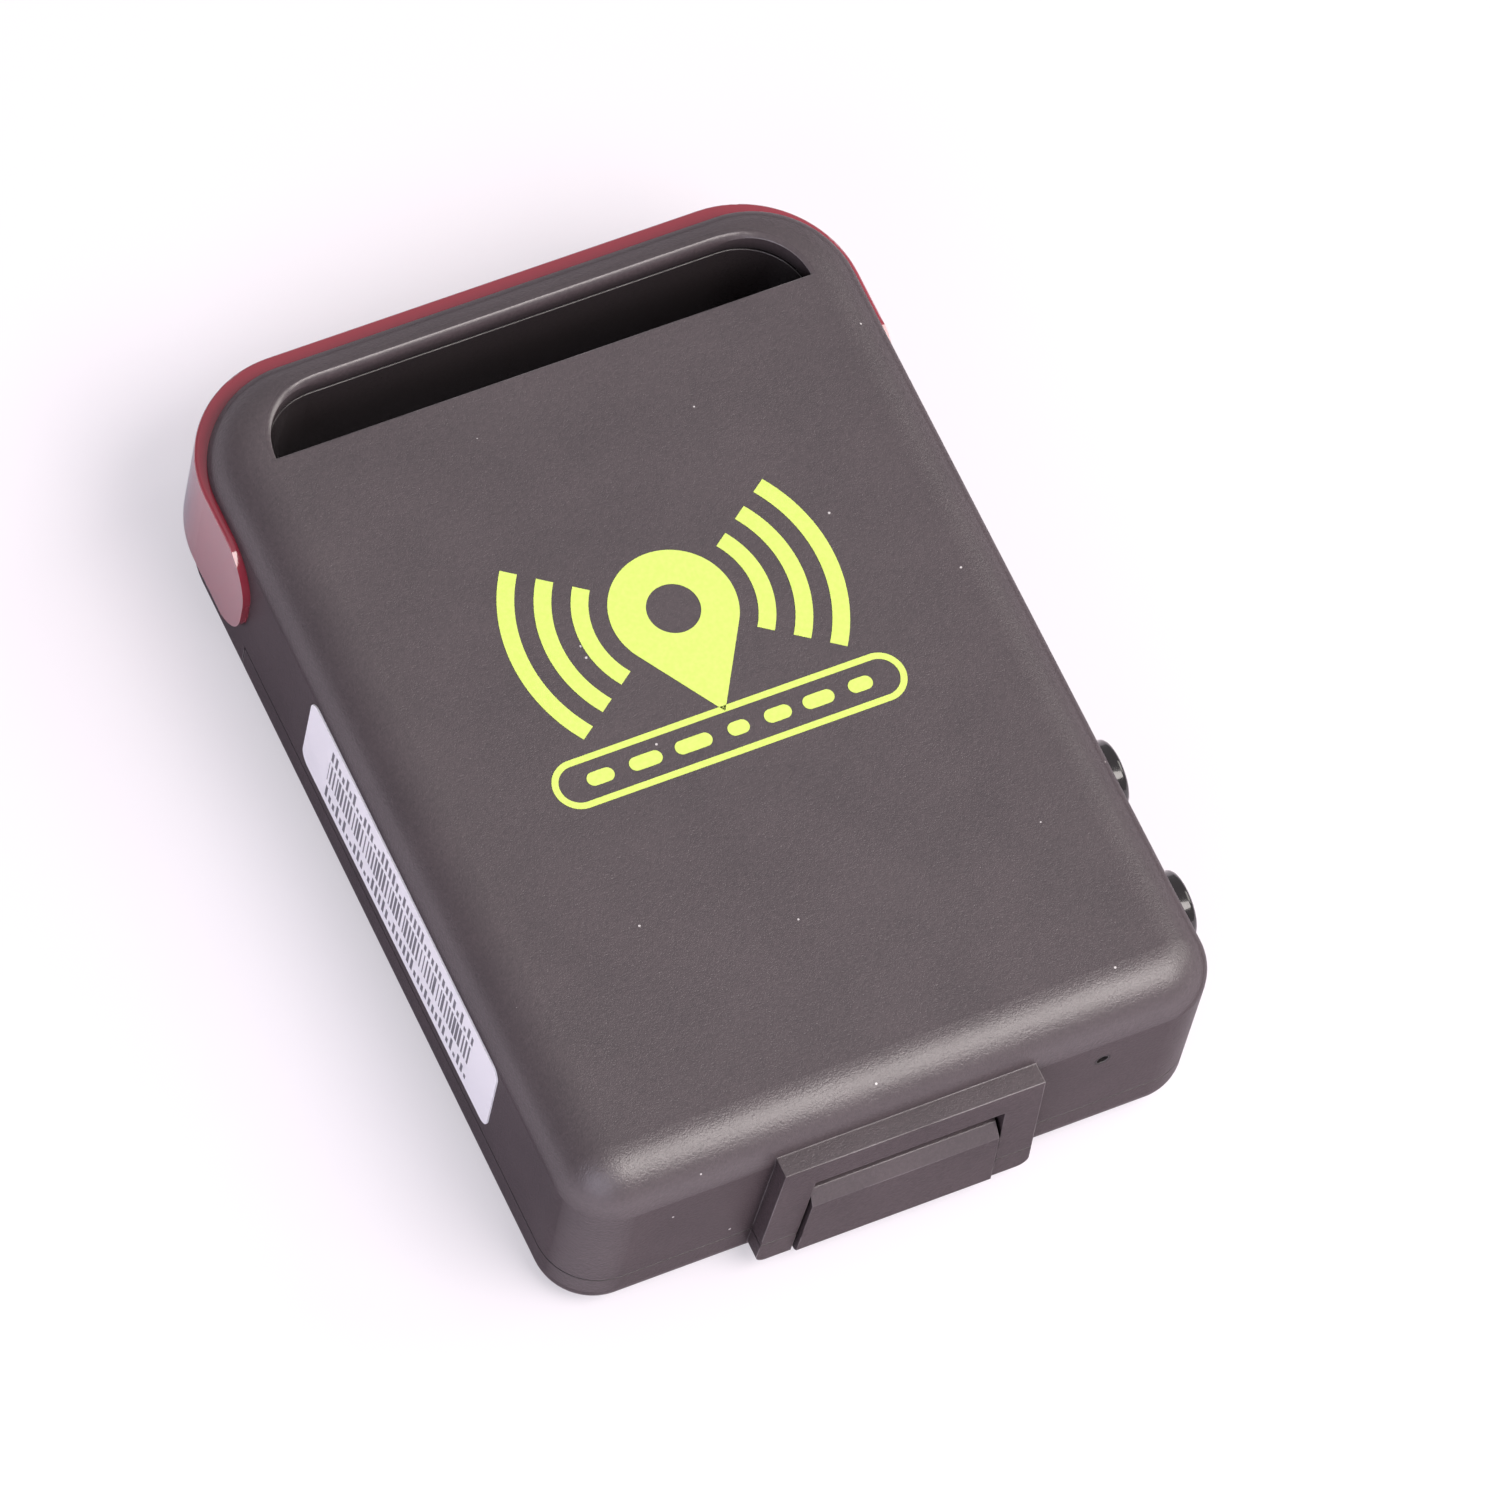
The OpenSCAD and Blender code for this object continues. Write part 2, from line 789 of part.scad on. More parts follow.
module main_board() {
    color("#1f6b3f")
        difference() {
            translate([0, 0, board_z])
                linear_extrude(board_t)
                    intersection() {
                        body_plan(wall + board_clear);
                        translate([-board_x, board_low_y])
                            square([2 * board_x, board_top_y - board_low_y]);
                    }
            for (p = boss_places)
                translate([p[0], p[1], board_z - over])
                    cylinder(r = boss_r + bay_clear, h = board_t + 2 * over);
            for (y = key_ys) {
                translate([switch_x - switch_d, y - switch_w / 2, board_z - over])
                    cube([body_w, switch_w, board_t + 2 * over]);
                translate([switch_x, y - flange_r - bay_clear, board_z - over])
                    cube([body_w, 2 * flange_r + 2 * bay_clear, board_t + 2 * over]);
            }
            translate([usb_back_x, usb_y - usb_w / 2, board_z - over])
                cube([body_w, usb_w, board_t + 2 * over]);
            translate([mic_x - mic_pad_r - bay_clear, -end_y, board_z - over])
                cube([body_w, end_y + alarm_key_y - switch_w / 2, board_t + 2 * over]);
        }
}

module processor() {
    color("#1d1d20")
        translate([chip_x, chip_y, board_top_z])
            linear_extrude(chip_h)
                square(chip_w, center = true);
}

module gps_antenna() {
    color("#d8cfae")
        translate([0, patch_y, board_top_z])
            linear_extrude(patch_t)
                plan_rect(patch_w, patch_w, patch_corner_r, patch_corner_r);
}

module antenna_plate() {
    color("#c9ccd0")
        translate([0, patch_y, board_top_z + patch_t])
            linear_extrude(silvering_t)
                plan_rect(silvering_w, silvering_w, patch_corner_r, patch_corner_r);
}

// Folded shield can, open towards the board
module shield_can(x, y, w, l, h) {
    translate([x, y, board_top_z])
        difference() {
            linear_extrude(h)
                plan_rect(w, l, 2 * shield_t, 2 * shield_t);
            translate([0, 0, -over])
                linear_extrude(h + over - shield_t)
                    plan_rect(w - 2 * shield_t, l - 2 * shield_t, shield_t, shield_t);
        }
}

module gps_shield() {
    color("#b7bbc0")
        shield_can(gps_shield_x, gps_shield_y, gps_shield_w, gps_shield_l, gps_shield_h);
}

module gsm_shield() {
    color("#b7bbc0")
        shield_can(gsm_shield_x, (gsm_shield_low_y + gsm_shield_top_y) / 2, gsm_shield_w,
            gsm_shield_top_y - gsm_shield_low_y, gsm_shield_h);
}

module gsm_antenna() {
    color("#8f7a4a")
        translate([carrier_x - carrier_w / 2, board_low_y + bay_clear, board_top_z])
            cube([carrier_w, carrier_l, carrier_h]);
}

module sim_holder() {
    slot_z = holder_z + 2 * card_clear;
    color("#c4c6c9")
        translate([card_x, card_y, 0])
            difference() {
                translate([-holder_w / 2, -holder_l / 2, holder_z])
                    cube([holder_w, holder_l, holder_t]);
                translate([-card_w / 2 - card_clear, -card_l / 2 - card_clear, slot_z])
                    cube([card_w + 2 * card_clear, holder_l, card_t + 2 * card_clear]);
                translate([card_cut - card_w / 2, card_cut - card_l / 2, holder_z - over])
                    cube([card_w - 2 * card_cut, holder_l, 2 * over]);
            }
}

module sim_card() {
    color("#e9e6da")
        translate([card_x, card_y, holder_z + 2 * card_clear])
            linear_extrude(card_t)
                polygon([[-card_w / 2, -card_l / 2], [card_w / 2, -card_l / 2],
                    [card_w / 2, card_l / 2 - card_cut], [card_w / 2 - card_cut, card_l / 2],
                    [-card_w / 2, card_l / 2]]);
}

module battery_pack() {
    color("#34373d")
        translate([0, battery_low_y + battery_l / 2, 0])
            soft_block(battery_w, battery_l, battery_corner_r, battery_corner_r,
                battery_z, battery_z + battery_t, battery_edge_r, battery_edge_r);
}

module battery_terminals() {
    color("#caa64b")
        for (k = [-1 : 1])
            translate([k * contact_pitch - terminal_w / 2, battery_top_y, terminal_z])
                cube([terminal_w, terminal_t, terminal_h]);
}

// Bent spring blade from the board down to the battery's end, in side view
module blade_section() {
    root_y = battery_top_y + terminal_t + 4 * blade_t;
    nose_y = battery_top_y + terminal_t;
    nose_z = battery_z + battery_t / 2;
    bend_z = plate_z - blade_t;
    tip_z = nose_z - battery_t / 4;
    polygon([[root_y, board_z], [root_y + blade_t, board_z], [root_y + blade_t, bend_z],
        [nose_y + blade_t, nose_z], [root_y, tip_z], [root_y - blade_t, tip_z],
        [nose_y, nose_z], [root_y, bend_z]]);
}

module battery_contacts() {
    color("#caa64b")
        for (k = [-1 : 1])
            translate([k * contact_pitch - contact_w / 2, 0, 0])
                rotate([90, 0, 90])
                    linear_extrude(contact_w)
                        blade_section();
}

module microphone() {
    color("#c4c6c9")
        translate([mic_x, mic_pad_y + boot_floor_t + capsule_l, mic_z])
            rotate([90, 0, 0])
                cylinder(r = capsule_r, h = capsule_l);
}

module mic_boot() {
    color("#3a3638")
        difference() {
            translate([mic_x, mic_pad_y + boot_l, mic_z])
                rotate([90, 0, 0])
                    cylinder(r = boot_r, h = boot_l);
            translate([mic_x, mic_pad_y + boot_l + over, mic_z])
                rotate([90, 0, 0])
                    cylinder(r = capsule_r + capsule_clear, h = boot_l - boot_floor_t + over);
            translate([mic_x, mic_pad_y + boot_l + over, mic_z])
                rotate([90, 0, 0])
                    cylinder(r = mic_hole_r, h = boot_l + 2 * over);
        }
}

module usb_socket() {
    color("#b9bcc0")
        difference() {
            at_usb(usb_back_x, usb_d)
                usb_outline(0);
            at_usb(usb_back_x + 2 * usb_wall, usb_d)
                usb_outline(-usb_wall);
        }
}

module usb_tongue() {
    color("#222024")
        translate([usb_back_x + 2 * usb_wall, usb_y - tongue_w / 2, usb_z])
            cube([tongue_l, tongue_w, tongue_h]);
}

module status_leds() {
    color("#e8e2cf")
        for (x = [-1, 1])
            translate([x * (board_x - led_w / 2 - seat_clear) - led_w / 2, led_y - led_l / 2, board_top_z])
                cube([led_w, led_l, led_h]);
}

module board_parts() {
    color("#8d7b5c")
        translate([chip_x + chip_w / 2 + small_l, chip_y - chip_w / 2, board_top_z])
            for (i = [0 : 1], j = [0 : small_rows - 1])
                translate([i * small_pitch_x, -j * small_pitch_y, 0])
                    cube([small_w, small_l, small_h]);
}

module case_screws() {
    color("#8f9297")
        for (p = boss_places)
            translate([p[0], p[1], plate_z - screw_head_h]) {
                cylinder(r = screw_head_r, h = screw_head_h);
                cylinder(r = screw_r, h = screw_head_h + screw_l);
            }
}

front_shell();
rear_shell();
battery_cover();
window_band();
side_label();
power_key();
alarm_key();
power_switch();
alarm_switch();
main_board();
processor();
gps_antenna();
antenna_plate();
gps_shield();
gsm_shield();
gsm_antenna();
sim_holder();
sim_card();
battery_pack();
battery_terminals();
battery_contacts();
microphone();
mic_boot();
usb_socket();
usb_tongue();
status_leds();
board_parts();
case_screws();
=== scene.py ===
import math

import bpy
from mathutils import Matrix, Vector


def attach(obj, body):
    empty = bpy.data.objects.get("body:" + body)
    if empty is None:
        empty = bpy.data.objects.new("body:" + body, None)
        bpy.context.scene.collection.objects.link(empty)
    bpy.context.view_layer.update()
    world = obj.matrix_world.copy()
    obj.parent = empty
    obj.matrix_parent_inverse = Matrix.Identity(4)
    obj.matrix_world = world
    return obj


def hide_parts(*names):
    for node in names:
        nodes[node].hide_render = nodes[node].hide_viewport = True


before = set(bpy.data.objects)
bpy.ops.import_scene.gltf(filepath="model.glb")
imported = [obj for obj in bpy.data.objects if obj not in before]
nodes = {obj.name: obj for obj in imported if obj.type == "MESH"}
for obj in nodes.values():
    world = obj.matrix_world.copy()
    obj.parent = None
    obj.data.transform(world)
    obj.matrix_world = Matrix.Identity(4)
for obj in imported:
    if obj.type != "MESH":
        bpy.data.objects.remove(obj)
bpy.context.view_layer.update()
mm = 0.001
print("frame loaded:", len(nodes), "nodes")


# Helpers for materials
def colourOf(code):
    # an sRGB hex colour as the linear values that shaders work in
    parts = [int(code[i:i + 2], 16) / 255 for i in (1, 3, 5)]
    return tuple(v / 12.92 if v <= 0.04045 else ((v + 0.055) / 1.055) ** 2.4 for v in parts) + (1.0,)


def addNode(mat, kind, settings=None):
    # a node with its settings; where a setting is a node or an output, it is linked in
    node = mat.node_tree.nodes.new("ShaderNode" + kind)
    for key, value in (settings or {}).items():
        if isinstance(value, bpy.types.Node):
            value = value.outputs[0]
        if isinstance(value, bpy.types.NodeSocket):
            mat.node_tree.links.new(value, node.inputs[key])
        elif isinstance(key, str) and hasattr(node, key):
            setattr(node, key, value)
        else:
            node.inputs[key].default_value = value
    return node


def feed(mat, shader, socket, output):
    mat.node_tree.links.new(output, shader.inputs[socket])


def startMaterial(name, colour, settings):
    # one Principled shader with its constants on its own sockets, and the object's own coordinates
    mat = bpy.data.materials.new(name)
    mat.use_nodes = True
    mat.node_tree.nodes.clear()
    shader = addNode(mat, "BsdfPrincipled", {"Base Color": colourOf(colour), **settings})
    addNode(mat, "OutputMaterial", {"Surface": shader})
    mat.diffuse_color = colourOf(colour)
    return mat, shader, addNode(mat, "TexCoord").outputs["Object"]


def drive(mat, shader, pattern, tones=None, dull=None, relief=None, span=(0.3, 0.7)):
    # a pattern's span of values takes the colour from one tone to the other and the roughness from
    # one value to the other; relief is the depth of the pattern in millimetres and its strength
    low, high = span
    if tones:
        share = addNode(mat, "MapRange", {"Value": pattern, "From Min": low, "From Max": high})
        colour = addNode(mat, "Mix", {"data_type": "RGBA", 0: share,
                                      6: colourOf(tones[0]), 7: colourOf(tones[1])})
        feed(mat, shader, "Base Color", colour.outputs[2])
    if dull:
        rough = addNode(mat, "MapRange", {"Value": pattern, "From Min": low, "From Max": high,
                                          "To Min": dull[0], "To Max": dull[1]})
        feed(mat, shader, "Roughness", rough.outputs[0])
    if relief:
        bump = addNode(mat, "Bump", {"Height": pattern, "Distance": relief[0] * mm, "Strength": relief[1]})
        feed(mat, shader, "Normal", bump.outputs[0])


def between(mat, value, low, high):
    # 1 where the value lies between low and high, 0 elsewhere
    above = addNode(mat, "Math", {"operation": "GREATER_THAN", 0: value, 1: low})
    below = addNode(mat, "Math", {"operation": "LESS_THAN", 0: value, 1: high})
    return addNode(mat, "Math", {"operation": "MULTIPLY", 0: above, 1: below})


# Materials, one function for each real one

# Shell: sizes in millimetres, in the frame of the whole object, but speckEdge is a share of a speck's
# cell, and speckFrom is how high a cell has to roll, from 0 to 1, to hold a speck
shell = {
    "slotHalf": 14.15, "slotEdge": 24.5, "slotStart": -0.05, "slotReach": 5.36, "slotLip": (14.9, 15.9),
    "holeAt": (14.4, 10.5), "holeRim": (0.48, 0.64), "nearEnd": -31.5, "seam": (3.6, 4.5),
    "grain": 0.25, "glint": 0.11, "handled": 14, "flow": 5,
    "speckCell": 1.6, "speckEdge": (0.045, 0.06), "speckFrom": 0.87,
    "edgeRound": 0.13, "cornerShadeReach": 1.5, "relief": 0.028,
}


def slotMask(mat, place):
    # 1 on the walls and the lip of the strap slot, 0 elsewhere
    aside = addNode(mat, "Math", {"operation": "ABSOLUTE", 0: place.outputs["X"]})
    past = addNode(mat, "Math", {"operation": "SUBTRACT", 0: aside, 1: shell["slotHalf"] * mm})
    beside = addNode(mat, "Math", {"operation": "MAXIMUM", 0: past, 1: 0.0})
    above = addNode(mat, "Math", {"operation": "SUBTRACT", 0: place.outputs["Y"], 1: shell["slotEdge"] * mm})
    corner = addNode(mat, "CombineXYZ", {"X": beside, "Y": above})
    away = addNode(mat, "VectorMath", {"operation": "LENGTH", 0: corner}).outputs["Value"]
    near = addNode(mat, "Math", {"operation": "LESS_THAN", 0: away, 1: shell["slotReach"] * mm})
    beyond = addNode(mat, "Math", {"operation": "GREATER_THAN", 0: above, 1: shell["slotStart"] * mm})
    return addNode(mat, "Math", {"operation": "MULTIPLY", 0: near, 1: beyond})


def holeShadeMask(mat, point, place):
    # painted shade that fades in round the mouth of the microphone hole in the near end
    x, z = shell["holeAt"]
    inner, outer = shell["holeRim"]
    flat = addNode(mat, "VectorMath", {"operation": "MULTIPLY", 0: point, 1: (1.0, 0.0, 1.0)})
    aside = addNode(mat, "VectorMath", {"operation": "DISTANCE", 0: flat, 1: (x * mm, 0.0, z * mm)})
    mouth = addNode(mat, "MapRange", {"Value": aside.outputs["Value"], "From Min": inner * mm,
                                      "From Max": outer * mm, "To Min": 0.9, "To Max": 0.0})
    atEnd = addNode(mat, "Math", {"operation": "LESS_THAN", 0: place.outputs["Y"], 1: shell["nearEnd"] * mm})
    return addNode(mat, "Math", {"operation": "MULTIPLY", 0: mouth, 1: atEnd})


def dustMask(mat, point):
    # a stray white speck in about one cell in eight
    cells = addNode(mat, "TexVoronoi", {"Vector": point, "Scale": 1 / (shell["speckCell"] * mm)})
    inner, outer = shell["speckEdge"]
    near = addNode(mat, "MapRange", {"Value": cells.outputs["Distance"], "From Min": inner,
                                     "From Max": outer, "To Min": 1.0, "To Max": 0.0})
    roll = addNode(mat, "SeparateColor", {"Color": cells.outputs["Color"]})
    picked = addNode(mat, "Math", {"operation": "GREATER_THAN", 0: roll, 1: shell["speckFrom"]})
    return addNode(mat, "Math", {"operation": "MULTIPLY", 0: near, 1: picked})


def sparkErodedAbs():
    # moulded ABS from a spark-eroded tool: a fine dull grain, a soft broad sheen, edges rubbed paler with a
    # painted highlight, stray white dust, the strap slot and its lip polished smooth, and painted shade in
    # the depth of the slot, round the mouth of the microphone hole and in the corners
    mat, shader, point = startMaterial("sparkErodedAbs", "#4a4044", {
        "Roughness": 0.36, "IOR": 1.54, "Specular IOR Level": 0.76})
    place = addNode(mat, "SeparateXYZ", {"Vector": point})
    polished = slotMask(mat, place)
    lipLow, lipHigh = shell["slotLip"]
    inside = addNode(mat, "MapRange", {"Value": place.outputs["Z"], "From Min": lipLow * mm,
                                       "From Max": lipHigh * mm, "To Min": 1.0, "To Max": 0.0})
    deep = addNode(mat, "Math", {"operation": "MULTIPLY", 0: polished, 1: inside})
    # the real grain is about 0.05 mm across, drawn coarser here so that it shows
    grain = addNode(mat, "TexNoise", {"Vector": point, "Scale": 1 / (shell["grain"] * mm),
                                      "Detail": 3.0, "Roughness": 0.65})
    glint = addNode(mat, "TexNoise", {"Vector": point, "Scale": 1 / (shell["glint"] * mm),
                                      "Roughness": 0.6})
    handled = addNode(mat, "TexNoise", {"Vector": point, "Scale": 1 / (shell["handled"] * mm),
                                        "Detail": 4.0, "Roughness": 0.6})
    flow = addNode(mat, "TexNoise", {"Vector": point, "Scale": 1 / (shell["flow"] * mm)})

    # moulded edges are never sharp: a rounded normal, which also tells where the edges are
    rounded = addNode(mat, "Bevel", {"samples": 6, "Radius": shell["edgeRound"] * mm})
    facing = addNode(mat, "NewGeometry").outputs["Normal"]
    alike = addNode(mat, "VectorMath", {"operation": "DOT_PRODUCT", 0: rounded, 1: facing})
    # edges are painted paler, partly as rubbed wear and partly as a painted highlight
    atEdge = addNode(mat, "MapRange", {"Value": alike.outputs["Value"], "From Min": 0.88, "From Max": 0.99,
                                       "To Min": 0.8, "To Max": 0.0})
    uneven = addNode(mat, "MapRange", {"Value": flow, "From Min": 0.3, "From Max": 0.7, "To Min": 0.1})
    wornAndHighlitEdge = addNode(mat, "Math", {"operation": "MULTIPLY", 0: atEdge, 1: uneven})
    # the depth of the slot and the seam are sheltered from rubbing and get no painted edge highlight
    inSlot = addNode(mat, "Math", {"operation": "MULTIPLY", 0: deep, 1: 0.6})
    inSeam = between(mat, place.outputs["Z"], *[z * mm for z in shell["seam"]])
    sheltered = addNode(mat, "Math", {"operation": "MAXIMUM", 0: inSlot, 1: inSeam})
    exposed = addNode(mat, "Math", {"operation": "SUBTRACT", 0: 1.0, 1: sheltered})
    rubbed = addNode(mat, "Math", {"operation": "MULTIPLY", 0: wornAndHighlitEdge, 1: exposed})

    fine = addNode(mat, "MapRange", {"Value": grain, "From Min": 0.3, "From Max": 0.7, "To Max": 0.7})
    broad = addNode(mat, "MapRange", {"Value": flow, "From Min": 0.3, "From Max": 0.7, "To Max": 0.3})
    mottle = addNode(mat, "Math", {"operation": "ADD", 0: fine, 1: broad})
    # painted shade darkens the depth of the strap slot
    paintedSlotShade = addNode(mat, "Math", {"operation": "MULTIPLY", 0: deep, 1: 0.8})
    # painted shade darkens the corners and the gaps between parts, where occlusion finds them
    corner = addNode(mat, "AmbientOcclusion", {"samples": 4, "Distance": shell["cornerShadeReach"] * mm})
    paintedCornerShade = addNode(mat, "MapRange", {"Value": corner.outputs["AO"], "From Min": 0.3, "From Max": 0.75,
                                      "To Min": 0.85, "To Max": 0.0})
    colour = colourOf("#423a3d")
    layers = ((mottle, "#52484b"), (paintedSlotShade, "#2b2728"), (holeShadeMask(mat, point, place), "#171415"),
              (rubbed, "#a09a9c"), (paintedCornerShade, "#1d191a"), (dustMask(mat, point), "#cbc6c6"))
    for share, over in layers:
        mix = addNode(mat, "Mix", {"data_type": "RGBA", 0: share, 6: colour, 7: colourOf(over)})
        colour = mix.outputs[2]
    feed(mat, shader, "Base Color", colour)

    dull = addNode(mat, "MapRange", {"Value": handled, "From Min": 0.3, "From Max": 0.7,
                                     "To Min": 0.32, "To Max": 0.37})
    smoother = addNode(mat, "Math", {"operation": "MULTIPLY", 0: polished, 1: 0.1})
    rough = addNode(mat, "Math", {"operation": "SUBTRACT", 0: dull, 1: smoother})
    feed(mat, shader, "Roughness", rough.outputs[0])
    # the grain hides the sheen at a slant
    slant = addNode(mat, "LayerWeight", {"Blend": 0.5}).outputs["Facing"]
    sheen = addNode(mat, "MapRange", {"Value": slant, "From Min": 0.32, "From Max": 0.64,
                                      "To Min": 0.76, "To Max": 0.03})
    feed(mat, shader, "Specular IOR Level", sheen.outputs[0])
    sand = addNode(mat, "Math", {"operation": "ADD", 0: grain, 1: glint})
    kept = addNode(mat, "Math", {"operation": "SUBTRACT", 0: 1.15, 1: polished})
    height = addNode(mat, "Math", {"operation": "MULTIPLY", 0: sand, 1: kept})
    bump = addNode(mat, "Bump", {"Height": height, "Distance": shell["relief"] * mm, "Strength": 0.85,
                                 "Normal": rounded})
    feed(mat, shader, "Normal", bump.outputs[0])
    return mat


def tintedAcrylic():
    # moulded acrylic tinted dark red: clear depth under a hard polished face
    mat, shader, point = startMaterial("tintedAcrylic", "#a63746", {
        "Roughness": 0.09, "IOR": 1.49, "Transmission Weight": 0.2,
        "Coat Weight": 1.0, "Coat IOR": 1.6, "Coat Roughness": 0.04})
    waves = addNode(mat, "TexNoise", {"Vector": point, "Scale": 1 / (6 * mm), "Detail": 1.0})
    rubbed = addNode(mat, "TexNoise", {"Vector": point, "Scale": 1 / (0.9 * mm),
                                       "Detail": 4.0, "Roughness": 0.7})
    drive(mat, shader, rubbed, dull=(0.07, 0.16), span=(0.45, 0.75))
    drive(mat, shader, waves, relief=(0.05, 0.25))
    return mat


def polishedAbs():
    # polished black ABS: deep gloss with a slight orange peel and fine wipe marks
    mat, shader, point = startMaterial("polishedAbs", "#1a1516", {
        "Roughness": 0.15, "IOR": 1.53, "Coat Weight": 0.6})
    peel = addNode(mat, "TexNoise", {"Vector": point, "Scale": 1 / (0.8 * mm), "Detail": 1.0})
    wiped = addNode(mat, "TexNoise", {"Vector": point, "Scale": 1 / (0.3 * mm),
                                      "Detail": 5.0, "Roughness": 0.75})
    drive(mat, shader, wiped, dull=(0.11, 0.22))
    drive(mat, shader, peel, relief=(0.01, 0.4))
    return mat


film = {  # in millimetres; bars and ticks are placed along and up from the corner at low and foot
    "low": -19.8, "length": 29.0, "foot": 5.2, "margin": 3.4,
    "barPitch": 0.44, "thickness": (0.12, 0.32), "bars": (2.65, 5.0),
    "tickPitch": 0.56, "tickWidth": 0.3, "tickRows": ((0.75, 2.2), (5.45, 6.9)), "shortest": 0.45,
    "barSeed": 3.1, "tickSeed": 9.3,
}


def stepRoll(mat, along, pitch, seed):
    # an even chance from 0 to 1 for each step along the film
    steps = addNode(mat, "Math", {"operation": "DIVIDE", 0: along, 1: pitch})
    step = addNode(mat, "Math", {"operation": "FLOOR", 0: steps})
    seeded = addNode(mat, "Math", {"operation": "ADD", 0: step, 1: seed})
    return addNode(mat, "TexWhiteNoise", {"noise_dimensions": "1D", "W": seeded}).outputs["Value"]


def stickerBars(mat, along, up):
    # 1 on the printed bars, whose thickness varies from bar to bar
    roll = stepRoll(mat, along, film["barPitch"], film["barSeed"])
    thin, wide = film["thickness"]
    thick = addNode(mat, "MapRange", {"Value": roll, "To Min": thin, "To Max": wide})
    step = addNode(mat, "Math", {"operation": "MODULO", 0: along, 1: film["barPitch"]})
    inBar = addNode(mat, "Math", {"operation": "LESS_THAN", 0: step, 1: thick})
    inRow = between(mat, up, *film["bars"])
    return addNode(mat, "Math", {"operation": "MULTIPLY", 0: inBar, 1: inRow})


def stickerTicks(mat, along, up, low, high, seed):
    # 1 on one row of printed ticks, whose height varies from tick to tick
    step = addNode(mat, "Math", {"operation": "MODULO", 0: along, 1: film["tickPitch"]})
    inTick = addNode(mat, "Math", {"operation": "LESS_THAN", 0: step, 1: film["tickWidth"]})
    roll = stepRoll(mat, along, film["tickPitch"], seed)
    tall = addNode(mat, "MapRange", {"Value": roll, "To Min": high, "To Max": low + film["shortest"]})
    inRow = between(mat, up, low, tall)
    return addNode(mat, "Math", {"operation": "MULTIPLY", 0: inTick, 1: inRow})


def stickerFilm():
    # white polyester film with a satin varnish, printed in grey with plain bars between two rows of ticks
    mat, shader, point = startMaterial("stickerFilm", "#fafaff", {"Roughness": 0.38, "IOR": 1.5})
    place = addNode(mat, "SeparateXYZ", {"Vector": point})
    along = addNode(mat, "Math", {"operation": "MULTIPLY_ADD",
                                  0: place.outputs["Y"], 1: 1 / mm, 2: -film["low"]})
    up = addNode(mat, "Math", {"operation": "MULTIPLY_ADD",
                               0: place.outputs["Z"], 1: 1 / mm, 2: -film["foot"]})
    ink = stickerBars(mat, along, up)
    for i, (low, high) in enumerate(film["tickRows"]):
        row = stickerTicks(mat, along, up, low, high, film["tickSeed"] + i)
        ink = addNode(mat, "Math", {"operation": "MAXIMUM", 0: ink, 1: row})
    inMargins = between(mat, along, film["margin"], film["length"] - film["margin"])
    ink = addNode(mat, "Math", {"operation": "MULTIPLY", 0: ink, 1: inMargins})
    drive(mat, shader, ink, tones=("#fafaff", "#63636c"), span=(0.0, 1.0))
    gloss = addNode(mat, "TexNoise", {"Vector": point, "Scale": 1 / (1.8 * mm)})
    drive(mat, shader, gloss, dull=(0.32, 0.44), relief=(0.01, 0.3))
    return mat


def solderMask():
    # green solder mask over etched copper: tracks show as paler raised lines
    mat, shader, point = startMaterial("solderMask", "#1c6a41", {
        "Roughness": 0.3, "IOR": 1.5, "Coat Weight": 0.3})
    tracks = addNode(mat, "TexBrick", {
        "Vector": point, "Scale": 1.0, "Brick Width": 2.6 * mm, "Row Height": 0.5 * mm,
        "Mortar Size": 0.1 * mm, "Mortar Smooth": 0.2,
        "offset": 0.37, "squash": 0.6, "squash_frequency": 3}).outputs["Fac"]
    drive(mat, shader, tracks, tones=("#17593a", "#2f8a58"), relief=(0.035, 0.6), span=(0.0, 1.0))
    return mat


def tinnedSheet():
    # tin-plated steel sheet: bright, rolled one way, a little clouded
    mat, shader, point = startMaterial("tinnedSheet", "#b9bbbe", {"Metallic": 1.0, "Roughness": 0.3})
    rolled = addNode(mat, "Mapping", {"Vector": point, "Scale": (1.0, 0.06, 1.0)})
    streaks = addNode(mat, "TexNoise", {"Vector": rolled, "Scale": 1 / (0.12 * mm), "Detail": 3.0})
    cloud = addNode(mat, "TexNoise", {"Vector": point, "Scale": 1 / (2.5 * mm), "Detail": 3.0})
    drive(mat, shader, cloud, tones=("#a9abae", "#c6c8ca"))
    drive(mat, shader, streaks, dull=(0.24, 0.42), relief=(0.004, 0.5))
    return mat


def mouldingCompound():
    # black epoxy moulding compound: dull, with a sandy face
    mat, shader, point = startMaterial("mouldingCompound", "#1b1b1d", {"Roughness": 0.55, "IOR": 1.55})
    sand = addNode(mat, "TexNoise", {"Vector": point, "Scale": 1 / (0.12 * mm),
                                     "Detail": 4.0, "Roughness": 0.7})
    drive(mat, shader, sand, tones=("#161618", "#26262a"), relief=(0.01, 0.6))
    return mat


def firedCeramic():
    # fired antenna ceramic: cream, matte, faintly mottled
    mat, shader, point = startMaterial("firedCeramic", "#d2c8a6", {"Roughness": 0.62, "IOR": 1.6})
    mottle = addNode(mat, "TexNoise", {"Vector": point, "Scale": 1 / (0.5 * mm),
                                       "Detail": 5.0, "Roughness": 0.7})
    drive(mat, shader, mottle, tones=("#c6bb97", "#dcd3b4"), relief=(0.015, 0.5))
    return mat


def silverPlating():
    # screen-printed silver: soft metal with the mesh's faint weave
    mat, shader, point = startMaterial("silverPlating", "#c9cbcc", {"Metallic": 1.0, "Roughness": 0.42})
    weave = addNode(mat, "TexNoise", {"Vector": point, "Scale": 1 / (0.1 * mm)})
    drive(mat, shader, weave, dull=(0.34, 0.52), relief=(0.006, 0.5))
    return mat


